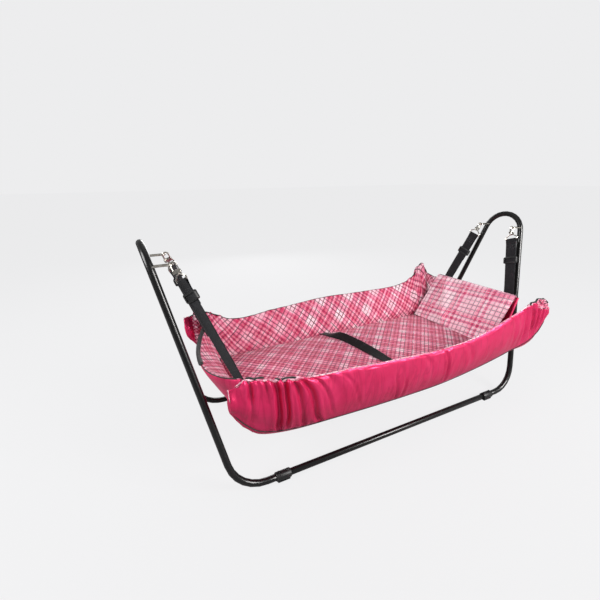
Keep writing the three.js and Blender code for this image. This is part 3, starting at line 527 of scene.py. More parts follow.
def plaidFinish(name):
    look = {**plaidSettings, **plaidCloths[name]}
    finish = Finish(name, Sheen_Weight=0.12)
    size = 1 / look["enlarged"]
    cloth = finish.turned(finish.weavePlace(), (0, 0, math.radians(look["turn"])), (size, size, size))
    wobble = finish.cloud(cloth, 24, 2)
    along, across, _ = finish.parts(cloth)

    def yarns(place, other, seed):
        # pale band, hand-drawn dark lines and pale lines of one yarn direction
        def streaks(fineness, shortness, start):
            stretched = {0: place * fineness, 1: other * shortness, 2: start}
            return finish.cloud(finish.node("ShaderNodeCombineXYZ", {}, stretched), 1, 2, 0.6)

        strokes, fine = streaks(150, 22, seed), streaks(900, 30, seed + 7)
        moved = place + (wobble - 0.5) * look["wander"]
        turns = moved / look["period"] + seed * 0.37
        cell = turns.fraction()
        strength = ((turns.whole() * 12.9898 + seed).sine() * 43.7585).fraction()
        half = look["bandShare"] / 2
        wide = finish.spread(abs(cell - 0.5), 1, 0, half - 0.03, half + 0.03)
        narrow = finish.spread(abs((cell + 0.5).fraction() - 0.5), 1, 0, 0.03, 0.06)
        inBand = (wide * (strength * 0.4 + 0.6)).atLeast(narrow * 0.75)
        line = abs(((moved / look["linePitch"]) % 1) - 0.5)
        dark = finish.spread(line, 1, 0, look["lineShare"] * 0.4, look["lineShare"] * 0.75)
        light = finish.spread(line, 0, 1, 0.5 - look["lineShare"] * 0.9, 0.5 - look["lineShare"] * 0.4)
        drawn = finish.spread(strokes, 0, 1, 0.34, 0.52)
        paleness = inBand * finish.spread(fine, 0.55, 1, 0.3, 0.6)
        darkness = dark * (inBand * 0.35 + drawn * 0.65)
        return paleness, darkness, light * drawn * finish.spread(fine, 0.4, 1, 0.35, 0.6)

    bandA, darkA, lightA = yarns(along, across, 1.3)
    bandB, darkB, lightB = yarns(across, along, 4.1)
    ground = finish.node(
        "ShaderNodeValToRGB",
        {"stops": [(0, look["pink"]), (0.45, look["rose"]), (0.95, look["pale"])]},
        {0: (bandA + bandB) * 0.5},
    )
    ground = finish.tint(lightA.atLeast(lightB) * look["bright"], ground, look["pale"])
    ground = finish.tint((darkA.atLeast(darkB) * look["lines"]).atMost(0.9), ground, look["line"])
    finish.drive("Base Color", ground)
    threadTurn = 2 * math.pi / look["threadPitch"]
    threads = (along * threadTurn).sine() + (across * threadTurn).sine()
    creases = finish.cloud(finish.turned(cloth, scale=(30, 16, 1)), 1, 3, 0.5, 0.4)
    folds = finish.relief(creases, look["creaseDepth"], 0.6)
    finish.drive("Normal", finish.relief(threads, look["threadDepth"], 0.6, folds))
    finish.drive("Roughness", 0.9 - creases * 0.1)
    return finish.material


bindingSettings = {
    "tape": colour(16, 13, 15),
    "worn": colour(50, 42, 46),
    "roughness": 0.62,
    "depth": 0.00025,
}


def bindingFinish():
    look = bindingSettings
    finish = Finish("darkBinding", Roughness=0.7, Sheen_Weight=0.2)
    place = finish.objectPlace()
    threads = finish.cloud(place, 900, 2)
    wear = finish.cloud(place, 70, 4, 0.6)
    rubbed = finish.spread(wear, 0, 0.5, 0.45, 0.75)
    finish.drive("Base Color", finish.tint(rubbed, look["tape"], look["worn"]))
    finish.drive("Roughness", threads * 0.15 + look["roughness"])
    finish.drive("Normal", finish.relief(threads, look["depth"], 0.6))
    return finish.material


threadSettings = {
    "thread": colour(38, 38, 41),
    # the light colour is a painted highlight on the crowns of the thread's twist
    "light": colour(92, 92, 97),
    "twistPitch": 0.7 * mm,
    "depth": 0.0001,
}


def threadFinish():
    look = threadSettings
    finish = Finish("blackThread", Roughness=0.6, Sheen_Weight=0.2)
    along, across, _ = finish.parts(finish.weavePlace())
    twist = ((along + across * 1.5) * (2 * math.pi / look["twistPitch"])).sine() * 0.5 + 0.5
    # painted highlight: the thread is lighter where its twist bump is high
    finish.drive("Base Color", finish.tint(twist, look["thread"], look["light"]))
    finish.drive("Normal", finish.relief(twist, look["depth"], 0.6))
    return finish.material


boardSettings = {"fibre": colour(150, 112, 72), "dark": colour(104, 74, 46), "depth": 0.0002}


def boardFinish():
    look = boardSettings
    finish = Finish("fibreBoard", Roughness=0.8)
    place = finish.objectPlace()
    fibres = finish.cloud(finish.turned(place, scale=(90, 240, 90)), 1, 5, 0.7)
    streaks = finish.spread(fibres, 0, 1, 0.35, 0.65)
    finish.drive("Base Color", finish.tint(streaks, look["fibre"], look["dark"]))
    finish.drive("Normal", finish.relief(fibres, look["depth"], 0.5))
    return finish.material


blackEnamel, blackPlastic, nickelPlate = enamelFinish(), plasticFinish(), nickelFinish()
charcoalWebbing = webbingFinish()
pinkSatin = satinFinish()
# the second and third plaids are darkened and lightened copies of the first: painted shade and painted light
plaidWalls, plaidMattress, plaidPad = (plaidFinish(name) for name in plaidCloths)
darkBinding, fibreBoard = bindingFinish(), boardFinish()
print("finishes mixed")

# The metal and plastic parts keep their CAD shape

rigidFinishes = {
    "rail_": blackEnamel,
    "hoop_bolt_": blackEnamel,
    "rail_bolt_": blackEnamel,
    "hoop_": blackEnamel,
    "collar_": blackPlastic,
    "adjuster_": blackPlastic,
    "eye_": nickelPlate,
    "hook_": nickelPlate,
    "gate_": nickelPlate,
    "ring_": nickelPlate,
    "base_board": fibreBoard,
}
roundedSettings = {
    "merge": 0.01,
    "sharpAngle": 38,
    "segments": 2,
    "cornerWidth": {
        "hoop_": 0.4, "rail_": 0.4, "collar_": 0.5, "adjuster_": 0.4, "ring_": 0, "hook_": 0, "eye_": 0,
    },
    "slots": {"blackEnamel": "black_enamel", "blackPlastic": "black_plastic", "nickelPlate": "nickel"},
}


def roundedCopy(nodeName, part, finish, width):
    # the CAD part's shape, joined up, shaded round and with worn corners that catch the light
    s = roundedSettings
    shape = bmesh.new()
    shape.from_mesh(part.data)
    bmesh.ops.remove_doubles(shape, verts=shape.verts, dist=s["merge"] * mm)
    for edge in shape.edges:
        edge.smooth = bool(width) or edge.calc_face_angle(0) < math.radians(s["sharpAngle"])
    first, *rest = nodeName.split("_")
    copy = objectFrom(shape, first + "".join(word.capitalize() for word in rest), [finish])
    for face in copy.data.polygons:
        face.material_index = 0
    if width:
        bevel = copy.modifiers.new("Worn corners", "BEVEL")
        bevel.width, bevel.segments = width * mm, s["segments"]
        bevel.limit_method, bevel.angle_limit = "ANGLE", math.radians(s["sharpAngle"])
        bevel.harden_normals = True
    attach(copy, part["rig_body"])
    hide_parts(nodeName)


for nodeName, part in nodes.items():
    start = next((start for start in rigidFinishes if nodeName.startswith(start)), None)
    if start:
        finish = rigidFinishes[start]
        part.data.materials.clear()
        part.data.materials.append(finish)
        if start in roundedSettings["cornerWidth"]:
            roundedCopy(nodeName, part, finish, roundedSettings["cornerWidth"][start])
print("metal and plastic parts finished")

# Basket sizes, as in the CAD source

basket = {
    "lowest": 132.5,
    "floorHalfLength": 470,
    "floorHalfWidth": 187,
    "floorCorner": 30,
    "floorUnderside": 159.5,
    "mattressUnderside": 175.1,
    "mattressTop": 209.1,
    "mattressCrown": 9,
    "mattressInset": 3,
    "mattressHeadGap": 14,
    "clearance": 0.3,
}
sides = {"front": -1, "back": 1}
ends = {"head": 1, "foot": -1}
beddingTop = basket["mattressTop"] + 4  # below this the rolls and walls keep off the bedding

# Hanger geometry, in each hanger's own directions

hangerSettings = {
    "eyeBar": (606.409, 68, 591.5),
    "ringBar": -43.15,
    "head": {"foot": (547, 141, 358.5), "doubled": 112, "tail": 44, "standoff": 1.7, "turn": 0},
    "foot": {"foot": (501, 172, 320), "doubled": 66, "tail": 22, "standoff": 0.7, "turn": 25},
    "width": 38,
    "thickness": 1.6,
    "layer": 1.0,
    "fold": 3.1,
    "mergeDrop": 20.5,
    "step": 3,
    "landMargin": 4,
    "landDepth": 38,
}


def hangerAxes(end, name):
    s, out, side = hangerSettings, ends[end], sides[name]
    x, y, z = s["eyeBar"]
    top = Vector((out * x, side * y, z))
    x, y, z = s[end]["foot"]
    low = Vector((out * x, side * y, z))
    upward = (top - low).normalized()
    across = -Vector((1, 0, 0)).cross(upward).normalized()
    if s[end]["turn"]:
        across = Matrix.Rotation(math.radians(-side * s[end]["turn"]), 3, upward) @ across
    return {
        "top": top,
        "length": (top - low).length,
        "upward": upward,
        "across": across,
        "face": upward.cross(across),
    }


def sewnEnd(end, name):
    axes = hangerAxes(end, name)
    point = axes["top"] - axes["upward"] * axes["length"] + axes["face"] * hangerSettings["layer"]
    normal = sewnNormals[end].copy()
    if end == "foot":
        normal.y *= -sides[name]
    down = -axes["upward"]
    down = (down - normal * down.dot(normal)).normalized()
    sideways = normal.cross(down)
    if sideways.dot(axes["across"]) < 0:
        sideways.negate()
    return point, normal, down, sideways


sewnNormals = {"head": Vector((0.9444, 0, -0.3289)), "foot": Vector((0.8508, 0.4687, 0.2378))}


def pressFlat(point):
    # soft pieces are pressed flat where a strap end is sewn on
    s = hangerSettings
    for (end, _), (at, normal, down, sideways) in sewnLands.items():
        off = point - at
        if abs(off.dot(sideways)) > s["width"] / 2 + s["landMargin"]:
            continue
        if abs(off.dot(down)) > s[end]["tail"] + s["landMargin"]:
            continue
        limit = -s["thickness"] / 2 - s[end]["standoff"]
        lift = off.dot(normal)
        if limit < lift < s["landDepth"]:
            point -= normal * (lift - limit)
    return point


sewnLands = {(end, name): sewnEnd(end, name) for end in ends for name in sides}

# Side rolls

rollSettings = {
    "footEnd": {"front": 534, "back": 560},
    "headEnd": 628,
    "outerHalfWidth": 252,
    "height": 162,
    "columns": 320,
    "rows": 72,
    "capColumns": 5,
    "capBulge": 5,
    "satinFrom": 10.3 / 11,
    "satinTo": 4.75 / 11,
    "lowSeam": 6 / 72,
    "satinEnd": 0.035,
    "hoopFrom": 560,
    "hoopGap": (5, 1),
    "hoopGapSpan": (208, 240),
    "cuff": 0.15,
    "cuffSpan": (0.9, 0.94),
    "growth": 0.12,
    "pressure": 1.2,
    "cap": 11,
    "folds": {
        "front": [
            (-512, -530, 9, 3, 1, 0.4), (-484, -492, 5, 6, 1, 0.5), (-452, -436, 4, 4, 1, 0.65),
            (-430, -412, 6, 8, 1, 0.15), (-404, -396, 4, 9, 1, 0.3), (-384, -340, 5, 5, 0.9, 0.1),
            (-370, -280, 6, 7, 1, 0.2), (-340, -226, 4, 4, 0.9, 0.4), (-300, -196, 9, 1.6, 1, 0.5),
            (-262, -132, 4, 2, 0.7, 0.4), (-92, -40, 4, 2.6, 0.5, 0.2), (-60, -14, 4, 2.4, 0.46, 0.14),
            (20, 118, 8, 1.6, 1, 0.55), (112, 150, 4, 2.6, 0.75, 0.35), (190, 290, 8, 1.4, 0.95, 0.5),
            (430, 480, 7, 1.8, 1, 0.4), (490, 526, 6, 4, 1, 0.35), (522, 566, 5, 5, 1, 0.3),
            (560, 566, 5, 6, 1, 0.35), (590, 582, 4, 4, 1, 0.45), (608, 612, 5, 4, 1, 0.4),
        ],
        "back": [
            (-540, -534, 6, 6, 1, 0.3), (-516, -508, 6, 8, 1, 0.2), (-488, -478, 6, 6, 1, 0.35),
            (-462, -446, 7, 5, 1, 0.3), (-420, -396, 8, 3, 0.9, 0.3), (-240, -190, 8, 3, 0.9, 0.3),
            (-60, -20, 8, 3, 0.9, 0.3), (170, 210, 8, 3, 0.9, 0.3), (400, 418, 6, 6, 1, 0.3),
            (440, 446, 6, 8, 1, 0.2), (476, 470, 6, 8, 1, 0.2), (512, 506, 7, 6, 1, 0.25),
            (548, 552, 6, 6, 1, 0.3), (588, 596, 6, 5, 1, 0.35),
        ],
    },
    "foldDepth": 1.45,
    "foldWidth": 1.1,
    "foldDrift": 5,
    "fullness": 7,
    "endPuff": 15,
    "foldSoftness": 0.16,
    "creaseHeights": (1.6, 1.7, 2.2),
    "liningLift": 0.45,
    "deepest": [(0, 20), (0.4, 22), (0.63, 16), (0.75, 10), (0.84, 6), (1, 2.5)],
    "liningShare": 0.35,
    "section": [
        (0.27, 0), (0.66, 0.11), (0.86, 0.36), (0.97, 0.74), (1, 0.93), (0.93, 1),
        (0.82, 0.95), (0.58, 0.74), (0.07, 0.45), (0, 0.22), (0.05, 0.05),
    ],
    "low": {
        "front": [(0, 0.66), (0.03, 0.34), (0.06, 0.15), (0.12, 0.05), (0.21, 0.02), (0.45, 0),
                  (0.6, 0.01), (0.8, 0.13), (0.91, 0.29), (0.97, 0.58), (1, 0.96)],
        "back": [(0, 1.02), (0.03, 0.7), (0.06, 0.36), (0.12, 0.13), (0.21, 0.05), (0.45, 0),
                 (0.6, 0.01), (0.8, 0.13), (0.91, 0.29), (0.97, 0.58), (1, 0.96)],
    },
    "rim": {
        "front": [(0, 1.06), (0.035, 1.2), (0.12, 1.09), (0.3, 1.05), (0.465, 0.985), (0.65, 0.965),
                  (0.83, 1.22), (0.9, 1.37), (0.955, 1.45), (1, 1.2)],
        "back": [(0, 1.36), (0.05, 1.42), (0.14, 1.1), (0.3, 1.15), (0.44, 1.2), (0.65, 1.18),
                 (0.78, 1.2), (0.84, 1.38), (0.875, 1.74), (0.91, 1.42), (1, 1.12)],
    },
    "outer": [(0, 0.79), (0.035, 0.83), (0.08, 0.88), (0.2, 0.95), (0.45, 1), (0.75, 0.985),
              (0.9, 0.965), (1, 0.97)],
    "inner": [(0, 1.01), (0.05, 1), (0.1, 0.985), (0.5, 0.98), (0.86, 0.985), (0.9, 1.08),
              (0.94, 1.21), (1, 1.26)],
}


def floorEdge(x):
    # half width of the floor at x, with its rounded corners, or nothing beyond its ends
    reach = abs(x) - (basket["floorHalfLength"] - basket["floorCorner"])
    if reach <= 0:
        return basket["floorHalfWidth"] + basket["clearance"]
    if reach > basket["floorCorner"]:
        return 0
    return (
        basket["floorHalfWidth"] + basket["clearance"]
        - basket["floorCorner"] + math.sqrt(basket["floorCorner"] ** 2 - reach**2)
    )


thicknessFound = {}


def rollShare(x, name):
    # how far x is along the roll, from 0 at its foot end to 1 at its head end
    s = rollSettings
    return (x + s["footEnd"][name]) / (s["footEnd"][name] + s["headEnd"])


def rollThickness(x, name):
    # how thick the roll is at x, as a share of its middle's thickness
    key = round(x / 3), name
    if key not in thicknessFound:
        s = rollSettings
        share = rollShare(x, name)
        outer = s["outerHalfWidth"] * follow(s["outer"], share)
        inner = basket["floorHalfWidth"] * follow(s["inner"], share)
        full = s["outerHalfWidth"] - basket["floorHalfWidth"]
        thicknessFound[key] = min(1, (outer - inner + puffAt(share)) / full)
    return thicknessFound[key]


def puffAt(share):
    s = rollSettings
    return blendTo(s["endPuff"], s["fullness"], ease(share, 0.06, 0.3)) * (1 - 0.5 * ease(share, 0.8, 0.95))


def gatherFold(x, name, around):
    # valleys of the drawn-up corners and slanting pulls
    # each is (x at the rim, x below, half width, depth, upper end, lower end)
    s = rollSettings
    satin = around < s["satinTo"]
    height = around / s["satinTo"] if satin else (s["satinFrom"] - around) / (s["satinFrom"] - s["satinTo"])
    height = min(max(height, 0), 1)
    lift = 0
    for rimX, lowX, width, depth, top, bottom in s["folds"][name]:
        width *= s["foldWidth"]
        gap = x - blendTo(lowX, rimX, height)
        if abs(gap) > 4 * width:
            continue
        soft = s["foldSoftness"]
        reach = ease(height, bottom - soft, bottom + soft) * (1 - ease(height, top + 0.02, top + soft))
        drift = s["foldDrift"] * noise.noise(Vector((rimX / 7, height * 4, sides[name])))
        valley = math.exp(-((abs(gap + drift) / width) ** 1.35))
        shoulder = math.exp(-(((abs(gap + drift) - 2.1 * width) / width) ** 2))
        lift += reach * depth * (0.5 * shoulder - valley)
    lift *= s["foldDepth"] * (1 if satin else s["liningShare"])
    return max(lift, -follow(s["deepest"], height) * rollThickness(x, name) * (1 if satin else 0.5))


def creaseLift(x, around, name):
    # slanting tension creases along the whole roll
    slant = 40 * (around - 0.25)
    seed = 11.0 * sides[name]
    long = noise.noise(Vector(((x + slant) / 26, around * 2.6, seed)))
    ridge = 1 - abs(noise.noise(Vector(((x - slant * 0.8) / 38, around * 1.8, seed + 7))) * 2.4)
    slack = noise.noise(Vector((x / 120, around * 1.5, seed + 20)))
    longHeight, ridgeHeight, slackHeight = rollSettings["creaseHeights"]
    return longHeight * long + ridgeHeight * max(ridge, 0) ** 3 * (0.4 + slack) + slackHeight * slack


def rollRing(x, name, count):
    s = rollSettings
    side = sides[name]
    share = rollShare(x, name)
    low = basket["lowest"] + s["height"] * follow(s["low"][name], share)
    high = basket["lowest"] + s["height"] * follow(s["rim"][name], share)
    inner = basket["floorHalfWidth"] * follow(s["inner"], share)
    outer = s["outerHalfWidth"] * follow(s["outer"], share)
    knots = [Vector((blendTo(inner, outer, o), blendTo(low, high, h))) for o, h in s["section"]]
    return [Vector((x, side * y, z)) for y, z in roundLine(knots, count)]


def keepOffFloor(point):
    # the roll's inner side stops at the floor panel and mattress
    edge = floorEdge(point.x)
    if edge and point.z < beddingTop and abs(point.y) < edge:
        point.y = math.copysign(edge, point.y)
    return point


def pressFolds(roll, name):
    # the drawn-up corners' folds, pressed into the stuffed roll along its own outward direction
    s = rollSettings
    start, finish = -s["footEnd"][name], s["headEnd"]
    marks = roll.data.attributes
    places = []
    for mark in ("along", "around"):
        values = np.zeros(len(roll.data.vertices), dtype=np.float32)
        marks[mark].data.foreach_get("value", values)
        places.append(values.tolist())
        marks.remove(marks[mark])
    normals = [vert.normal.copy() for vert in roll.data.vertices]
    for vert, column, around, outward in zip(roll.data.vertices, *places, normals):
        x = blendTo(start, finish, (column - s["capColumns"]) / (s["columns"] - 2 * s["capColumns"]))
        strength = ease(min(column, s["columns"] - column), s["capColumns"], s["capColumns"] + 6)
        strength *= ease(around, s["lowSeam"] - 0.01, s["lowSeam"] + 0.05) * (1 - ease(around, 0.78, 0.9))
        point = vert.co / mm
        if strength:
            point += outward * (gatherFold(x, name, around) * strength)
        vert.co = pressFlat(keepOffFloor(keepOffHoop(point, name))) * mm
    roll.data.update()


def keepOffHoop(point, name):
    # the head end's ear bulges only outwards, clear of the hoop's leg when the basket swings
    s = rollSettings
    if point.x > s["hoopFrom"]:
        share = rollShare(point.x, name)
        gap = blendTo(*s["hoopGap"], ease(point.z, *s["hoopGapSpan"]))
        inner = basket["floorHalfWidth"] * follow(s["inner"], min(1, share)) + gap
        if abs(point.y) < inner:
            point.y = math.copysign(inner, point.y)
    return point


rollSeams = {}
rollEnds = {}


def sideRoll(name):
    s = rollSettings
    start, finish = -s["footEnd"][name], s["headEnd"]
    columns, rows, cap = s["columns"], s["rows"], s["capColumns"]
    shape = clothGrid(columns, rows)
    for face in shape.faces:
        middle = face.calc_center_median()
        u, v = middle.x + 0.5, middle.y + 0.5
        isEnd = name == "back" and u < s["satinEnd"]
        isCuff = name == "front" and v > s["satinTo"] - s["cuff"] * ease(u, *s["cuffSpan"])
        isLining = s["satinTo"] < v < s["satinFrom"]
        face.material_index = 1 if (isLining and not isEnd) or (isCuff and v < s["satinTo"]) else 0
    groups = shape.verts.layers.deform.verify()
    alongLayer = shape.verts.layers.float.new("along")
    aroundLayer = shape.verts.layers.float.new("around")
    for vert in shape.verts:
        u, v = vert.co.x + 0.5, vert.co.y + 0.5
        vert[alongLayer], vert[aroundLayer] = u * columns, v
        seamGap = min(abs(v - s[seam]) for seam in ("satinTo", "satinFrom", "lowSeam")) * rows
        endGap = min(u, 1 - u) * columns
        patch = noise.noise(Vector((u * 9, v * 3, 3 * sides[name]))) * 0.45
        corner = max(1 - ease(u, 0.12, 0.3), ease(u, 0.84, 0.95) * 0.7)
        vert[groups][0] = 1.0 if seamGap < 0.7 or endGap < cap else 0.0
        vert[groups][1] = min(1, max(0.08, 0.22 + patch + corner * 0.35))
    rings = []
    for column in range(columns + 1):
        inward = 0
        if column <= cap:
            inward, x = 1 - column / cap, start
        elif column >= columns - cap:
            inward, x = 1 - (columns - column) / cap, finish
        else:
            x = blendTo(start, finish, (column - cap) / (columns - 2 * cap))
        ring = rollRing(x, name, rows)
        hub = sum(ring, Vector()) / rows
        for k, point in enumerate(ring):
            around = k / rows
            out = (point - hub).normalized()
            lift = creaseLift(x, around, name)
            if s["satinTo"] < around < 0.97:
                lift *= s["liningLift"]
            lift *= ease(around, s["lowSeam"] - 0.01, s["lowSeam"] + 0.08) + ease(around, 0.5, 0.6)
            if s["lowSeam"] < around < s["satinTo"]:
                share = (x - start) / (finish - start)
                height = (around - s["lowSeam"]) / (s["satinTo"] - s["lowSeam"])
                lift += puffAt(share) * math.sin(math.pi * height)
            point += out * lift
            if inward:
                point += (hub - point) * (1 - math.sqrt(max(0, 1 - inward**2)) if inward < 1 else 1)
                point.x += (1 if x > 0 else -1) * s["capBulge"] * inward**2
            keepOffFloor(point)
            pressFlat(point)
        rings.append(ring)

    def place(u, v):
        return rings[round(u * columns)][round(v * rows) % rows] * mm

    drape(shape, place)
    closeUp(shape, 2e-5)
    roll = objectFrom(shape, "sideRoll" + name.capitalize(), [pinkSatin, plaidWalls])
    roll.vertex_groups.new(name="seam")
    roll.vertex_groups.new(name="slack")
    for seam in ("satinTo", "satinFrom", "lowSeam"):
        rollSeams[name, seam] = [ring[round(s[seam] * rows)].copy() for ring in rings[cap:-cap]]
    rollEnds[name] = [point.copy() for point in rings[cap]]
    settleCloth(roll, s["growth"], s["pressure"], s["cap"])
    pressFolds(roll, name)
    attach(roll, "basket")
    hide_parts("roll_" + name)


for name in sides:
    sideRoll(name)
print("side rolls stuffed")

# Mattress

mattressSettings = {"columns": 180, "rows": 76, "edgeRound": 9, "wave": 1.6, "seamDrop": 3}


def crown(x, y, halfLength, halfWidth):
    return max(0, 1 - (x / halfLength) ** 6) * max(0, 1 - (y / halfWidth) ** 4)


def mattressTopAt(x, y):
    start = basket["mattressInset"] - basket["floorHalfLength"]
    end = basket["floorHalfLength"] - basket["mattressHeadGap"]
    shape = crown(
        x - (start + end) / 2, y, (end - start) / 2, basket["floorHalfWidth"] - basket["mattressInset"]
    )
    return basket["mattressTop"] - basket["mattressCrown"] * (1 - shape)


def edgeRound(rim, radius):
    # rises in a quarter circle from 0 at the rim to 1 at radius from it
    return math.sqrt(max(0, 1 - max(0, 1 - rim / radius) ** 2))


def flatCushion(name, start, end, halfWidth, corner, columns, rows, top, under, finishes):
    # two skins on one outline: the first half of the rows is the top, the rest the underside
    shape = clothGrid(columns, rows)

    def place(u, v):
        x = blendTo(start, end, (1 - math.cos(math.pi * u)) / 2)
        edge = min(x - start, end - x)
        inset = corner - math.sqrt(max(0, corner**2 - (corner - edge) ** 2)) if edge < corner else 0
        half = halfWidth - inset
        isTop = v <= 0.5
        across = 2 * v if isTop else 2 - 2 * v
        y = blendTo(-half, half, (1 - math.cos(math.pi * across)) / 2)
        rim = min(edge, half - abs(y))
        z = top(x, y, rim) if isTop else under(x, y, rim)
        return Vector((x, y, z)) * mm

    drape(shape, place)
    closeUp(shape, 1e-5)
    return objectFrom(shape, name, finishes)


def makeMattress():
    s = mattressSettings
    middle = (basket["mattressTop"] + basket["mattressUnderside"]) / 2 - s["seamDrop"]

    def top(x, y, rim):
        ripple = s["wave"] * noise.noise(Vector((x / 70, y / 45, 2))) * ease(rim, 4, 40)
        full = mattressTopAt(x, y) + ripple
        return middle + (full - middle) * edgeRound(rim, s["edgeRound"])

    def under(x, y, rim):
        full = basket["mattressUnderside"]
        return middle + (full - middle) * edgeRound(rim, s["edgeRound"])

    mattress = flatCushion(
        "mattressPad",
        basket["mattressInset"] - basket["floorHalfLength"],
        basket["floorHalfLength"] - basket["mattressHeadGap"],
        basket["floorHalfWidth"] - basket["mattressInset"],
        basket["floorCorner"],
        s["columns"],
        s["rows"],
        top,
        under,
        [plaidMattress],
    )
    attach(mattress, "basket")
    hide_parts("mattress")


makeMattress()
print("mattress laid")

# End walls and head pad

rollProfiles = {}


def rollInside(x, z, name):
    # how far in from the middle line the roll's inner face stands, at x and height z
    key = (round(x / 4), name)
    if key not in rollProfiles:
        place = key[0] * 4
        reach = -rollSettings["footEnd"][name] <= place <= rollSettings["headEnd"]
        rollProfiles[key] = rollRing(place, name, 48) if reach else []
    ring = rollProfiles[key]
    best = None
    for a, b in zip(ring, ring[1:] + ring[:1]):
        if (a.z - z) * (b.z - z) <= 0 and a.z != b.z:
            y = abs(blendTo(a.y, b.y, (z - a.z) / (b.z - a.z)))
            best = y if best is None else min(best, y)
    return best


def keepOffRolls(point, gap=0.4):
    edge = rollInside(point.x, point.z, "front" if point.y < 0 else "back")
    if edge is not None and abs(point.y) > edge - gap:
        point.y = math.copysign(edge - gap, point.y)
    return point


footWallSettings = {
    "out": 556,
    "cornerOut": 500,
    "height": 157,
    "cornerHeight": 192,
    "thickness": 12,
    "swell": 4,
    "cornerLift": 45,
    "crease": 1.5,
    "rimAt": 6 / 11,
    "liningTo": 6.3 / 11,
    "columns": 110,
    "rows": 64,
}


def footWallKnots(y):
    # the wall's section at y: upright beside the floor, then a slope out to the rim
    s = footWallSettings
    t = min(1, (y / basket["floorHalfWidth"]) ** 2)
    height = basket["lowest"] + blendTo(s["height"], s["cornerHeight"], t)
    rim = Vector((-blendTo(s["out"], s["cornerOut"], t), height))
    low = basket["floorUnderside"] + s["cornerLift"] * t**3
    wall = -basket["floorHalfLength"] - basket["clearance"]
    insideLow = Vector((wall, low))
    insideBend = Vector((wall, basket["mattressTop"] - basket["mattressCrown"]))
    outsideLow = Vector((wall - s["thickness"], low))
    slope = (rim - outsideLow).normalized()
    off = Vector((slope.y, -slope.x))
    half = s["thickness"] / 2
    innerRim = rim + off * half - slope * half
    outerRim = rim - off * half - slope * half

    def at(a, b, share, swell):
        return a.lerp(b, share) + off * swell

    return [
        insideLow, insideLow.lerp(insideBend, 0.5), insideBend,
        at(insideBend, innerRim, 1 / 3, s["swell"]), at(insideBend, innerRim, 2 / 3, s["swell"]),
        innerRim, rim, outerRim,
        at(outerRim, outsideLow, 1 / 3, -s["swell"]), at(outerRim, outsideLow, 2 / 3, -s["swell"]),
        outsideLow,
    ]


footRim, footSeam = [], []


def makeFootWall():
    s = footWallSettings
    reach = basket["floorHalfWidth"] + 4
    shape = clothGrid(s["columns"], s["rows"])
    for face in shape.faces:
        v = face.calc_center_median().y + 0.5
        face.material_index = 1 if 0 < v < s["liningTo"] else 0
    rings = []
    for column in range(s["columns"] + 1):
        y = blendTo(-reach, reach, column / s["columns"])
        ring = [Vector((x, y, z)) for x, z in roundLine(footWallKnots(y), s["rows"])]
        for k, point in enumerate(ring):
            around = k / s["rows"]
            fold = noise.noise(Vector((y / 30, around * 5, 31)))
            crease = s["crease"] * fold * (0.4 + abs(y) / basket["floorHalfWidth"])
            point.x -= crease * (1 if around > 0.55 else -0.6)
            if point.z < beddingTop:
                point.x = min(point.x, -basket["floorHalfLength"] - basket["clearance"])
            keepOffRolls(point)
            pressFlat(point)
        rings.append(ring)

    footRim.extend(ring[round(s["rimAt"] * s["rows"])].copy() for ring in rings)
    footSeam.extend(ring[round(s["liningTo"] * s["rows"])].copy() for ring in rings)

    def place(u, v):
        return rings[round(u * s["columns"])][round(v * s["rows"]) % s["rows"]] * mm

    drape(shape, place)
    closeUp(shape, 1e-5)
    bmesh.ops.holes_fill(shape, edges=[e for e in shape.edges if e.is_boundary])
    closeUp(shape)
    wall = objectFrom(shape, "footEndWall", [pinkSatin, plaidWalls])
    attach(wall, "basket")
    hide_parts("foot_wall")


headWallSettings = {
    "lean": 19.2,
    "height": 228,
    "thickness": 6,
    "halfWidth": 184,
    "columns": 96,
    "rows": 90,
}


def slantedPad(name, footAt, rimAt, thicknessAt, halfWidth, columns, rows, keepOff, finishes):
    # two skins across the basket between a foot line and a rim line, rounded at every edge
    shape = clothGrid(columns, rows)

    def place(u, v):
        y = blendTo(-halfWidth, halfWidth, (1 - math.cos(math.pi * u)) / 2)
        low, high = footAt(y), rimAt(y)
        angle = 2 * math.pi * v
        along, across = math.cos(angle), math.sin(angle)
        axis = high - low
        off = Vector((0, 1, 0)).cross(axis).normalized()
        share = (1 - math.copysign(abs(along) ** 0.6, along)) / 2
        swell = math.copysign(abs(across) ** 0.42, across) * thicknessAt(y, share) / 2
        point = high - axis * share + off * swell
        return keepOff(point) * mm

    drape(shape, place)
    closeUp(shape, 1e-5)
    return objectFrom(shape, name, finishes)


def headPlate():
    # the head wall's middle plane: its place at each height, and its outward direction
    s = headWallSettings
    lean = math.radians(s["lean"])
    point, normal = sewnLands["head", "front"][:2]
    slope = Vector((math.sin(lean), 0, math.cos(lean)))
    depth = hangerSettings["thickness"] / 2 + hangerSettings["head"]["standoff"] + s["thickness"] / 2
    centre = point - normal * depth

    def at(z):
        place = centre + slope * ((z - centre.z) / slope.z)
        return Vector((place.x, 0, place.z))

    return at, normal


def makeHeadWall():
    s = headWallSettings
    at, _ = headPlate()
    low, high = at(basket["floorUnderside"]), at(basket["lowest"] + s["height"])

    def thickness(y, share):
        edge = max(0, 1 - (abs(y) / s["halfWidth"]) ** 24) ** 0.5
        return s["thickness"] * edge

    def keepOff(point):
        if point.z < beddingTop:
            point.x = max(point.x, basket["floorHalfLength"] + basket["clearance"])
        keepOffRolls(point)
        return pressFlat(point)

    wall = slantedPad(
        "headEndWall",
        lambda y: low + Vector((0, y, 0)),
        lambda y: high + Vector((0, y, 0)),
        thickness, s["halfWidth"], s["columns"], s["rows"], keepOff, [pinkSatin],
    )
    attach(wall, "basket")
    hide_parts("head_wall")


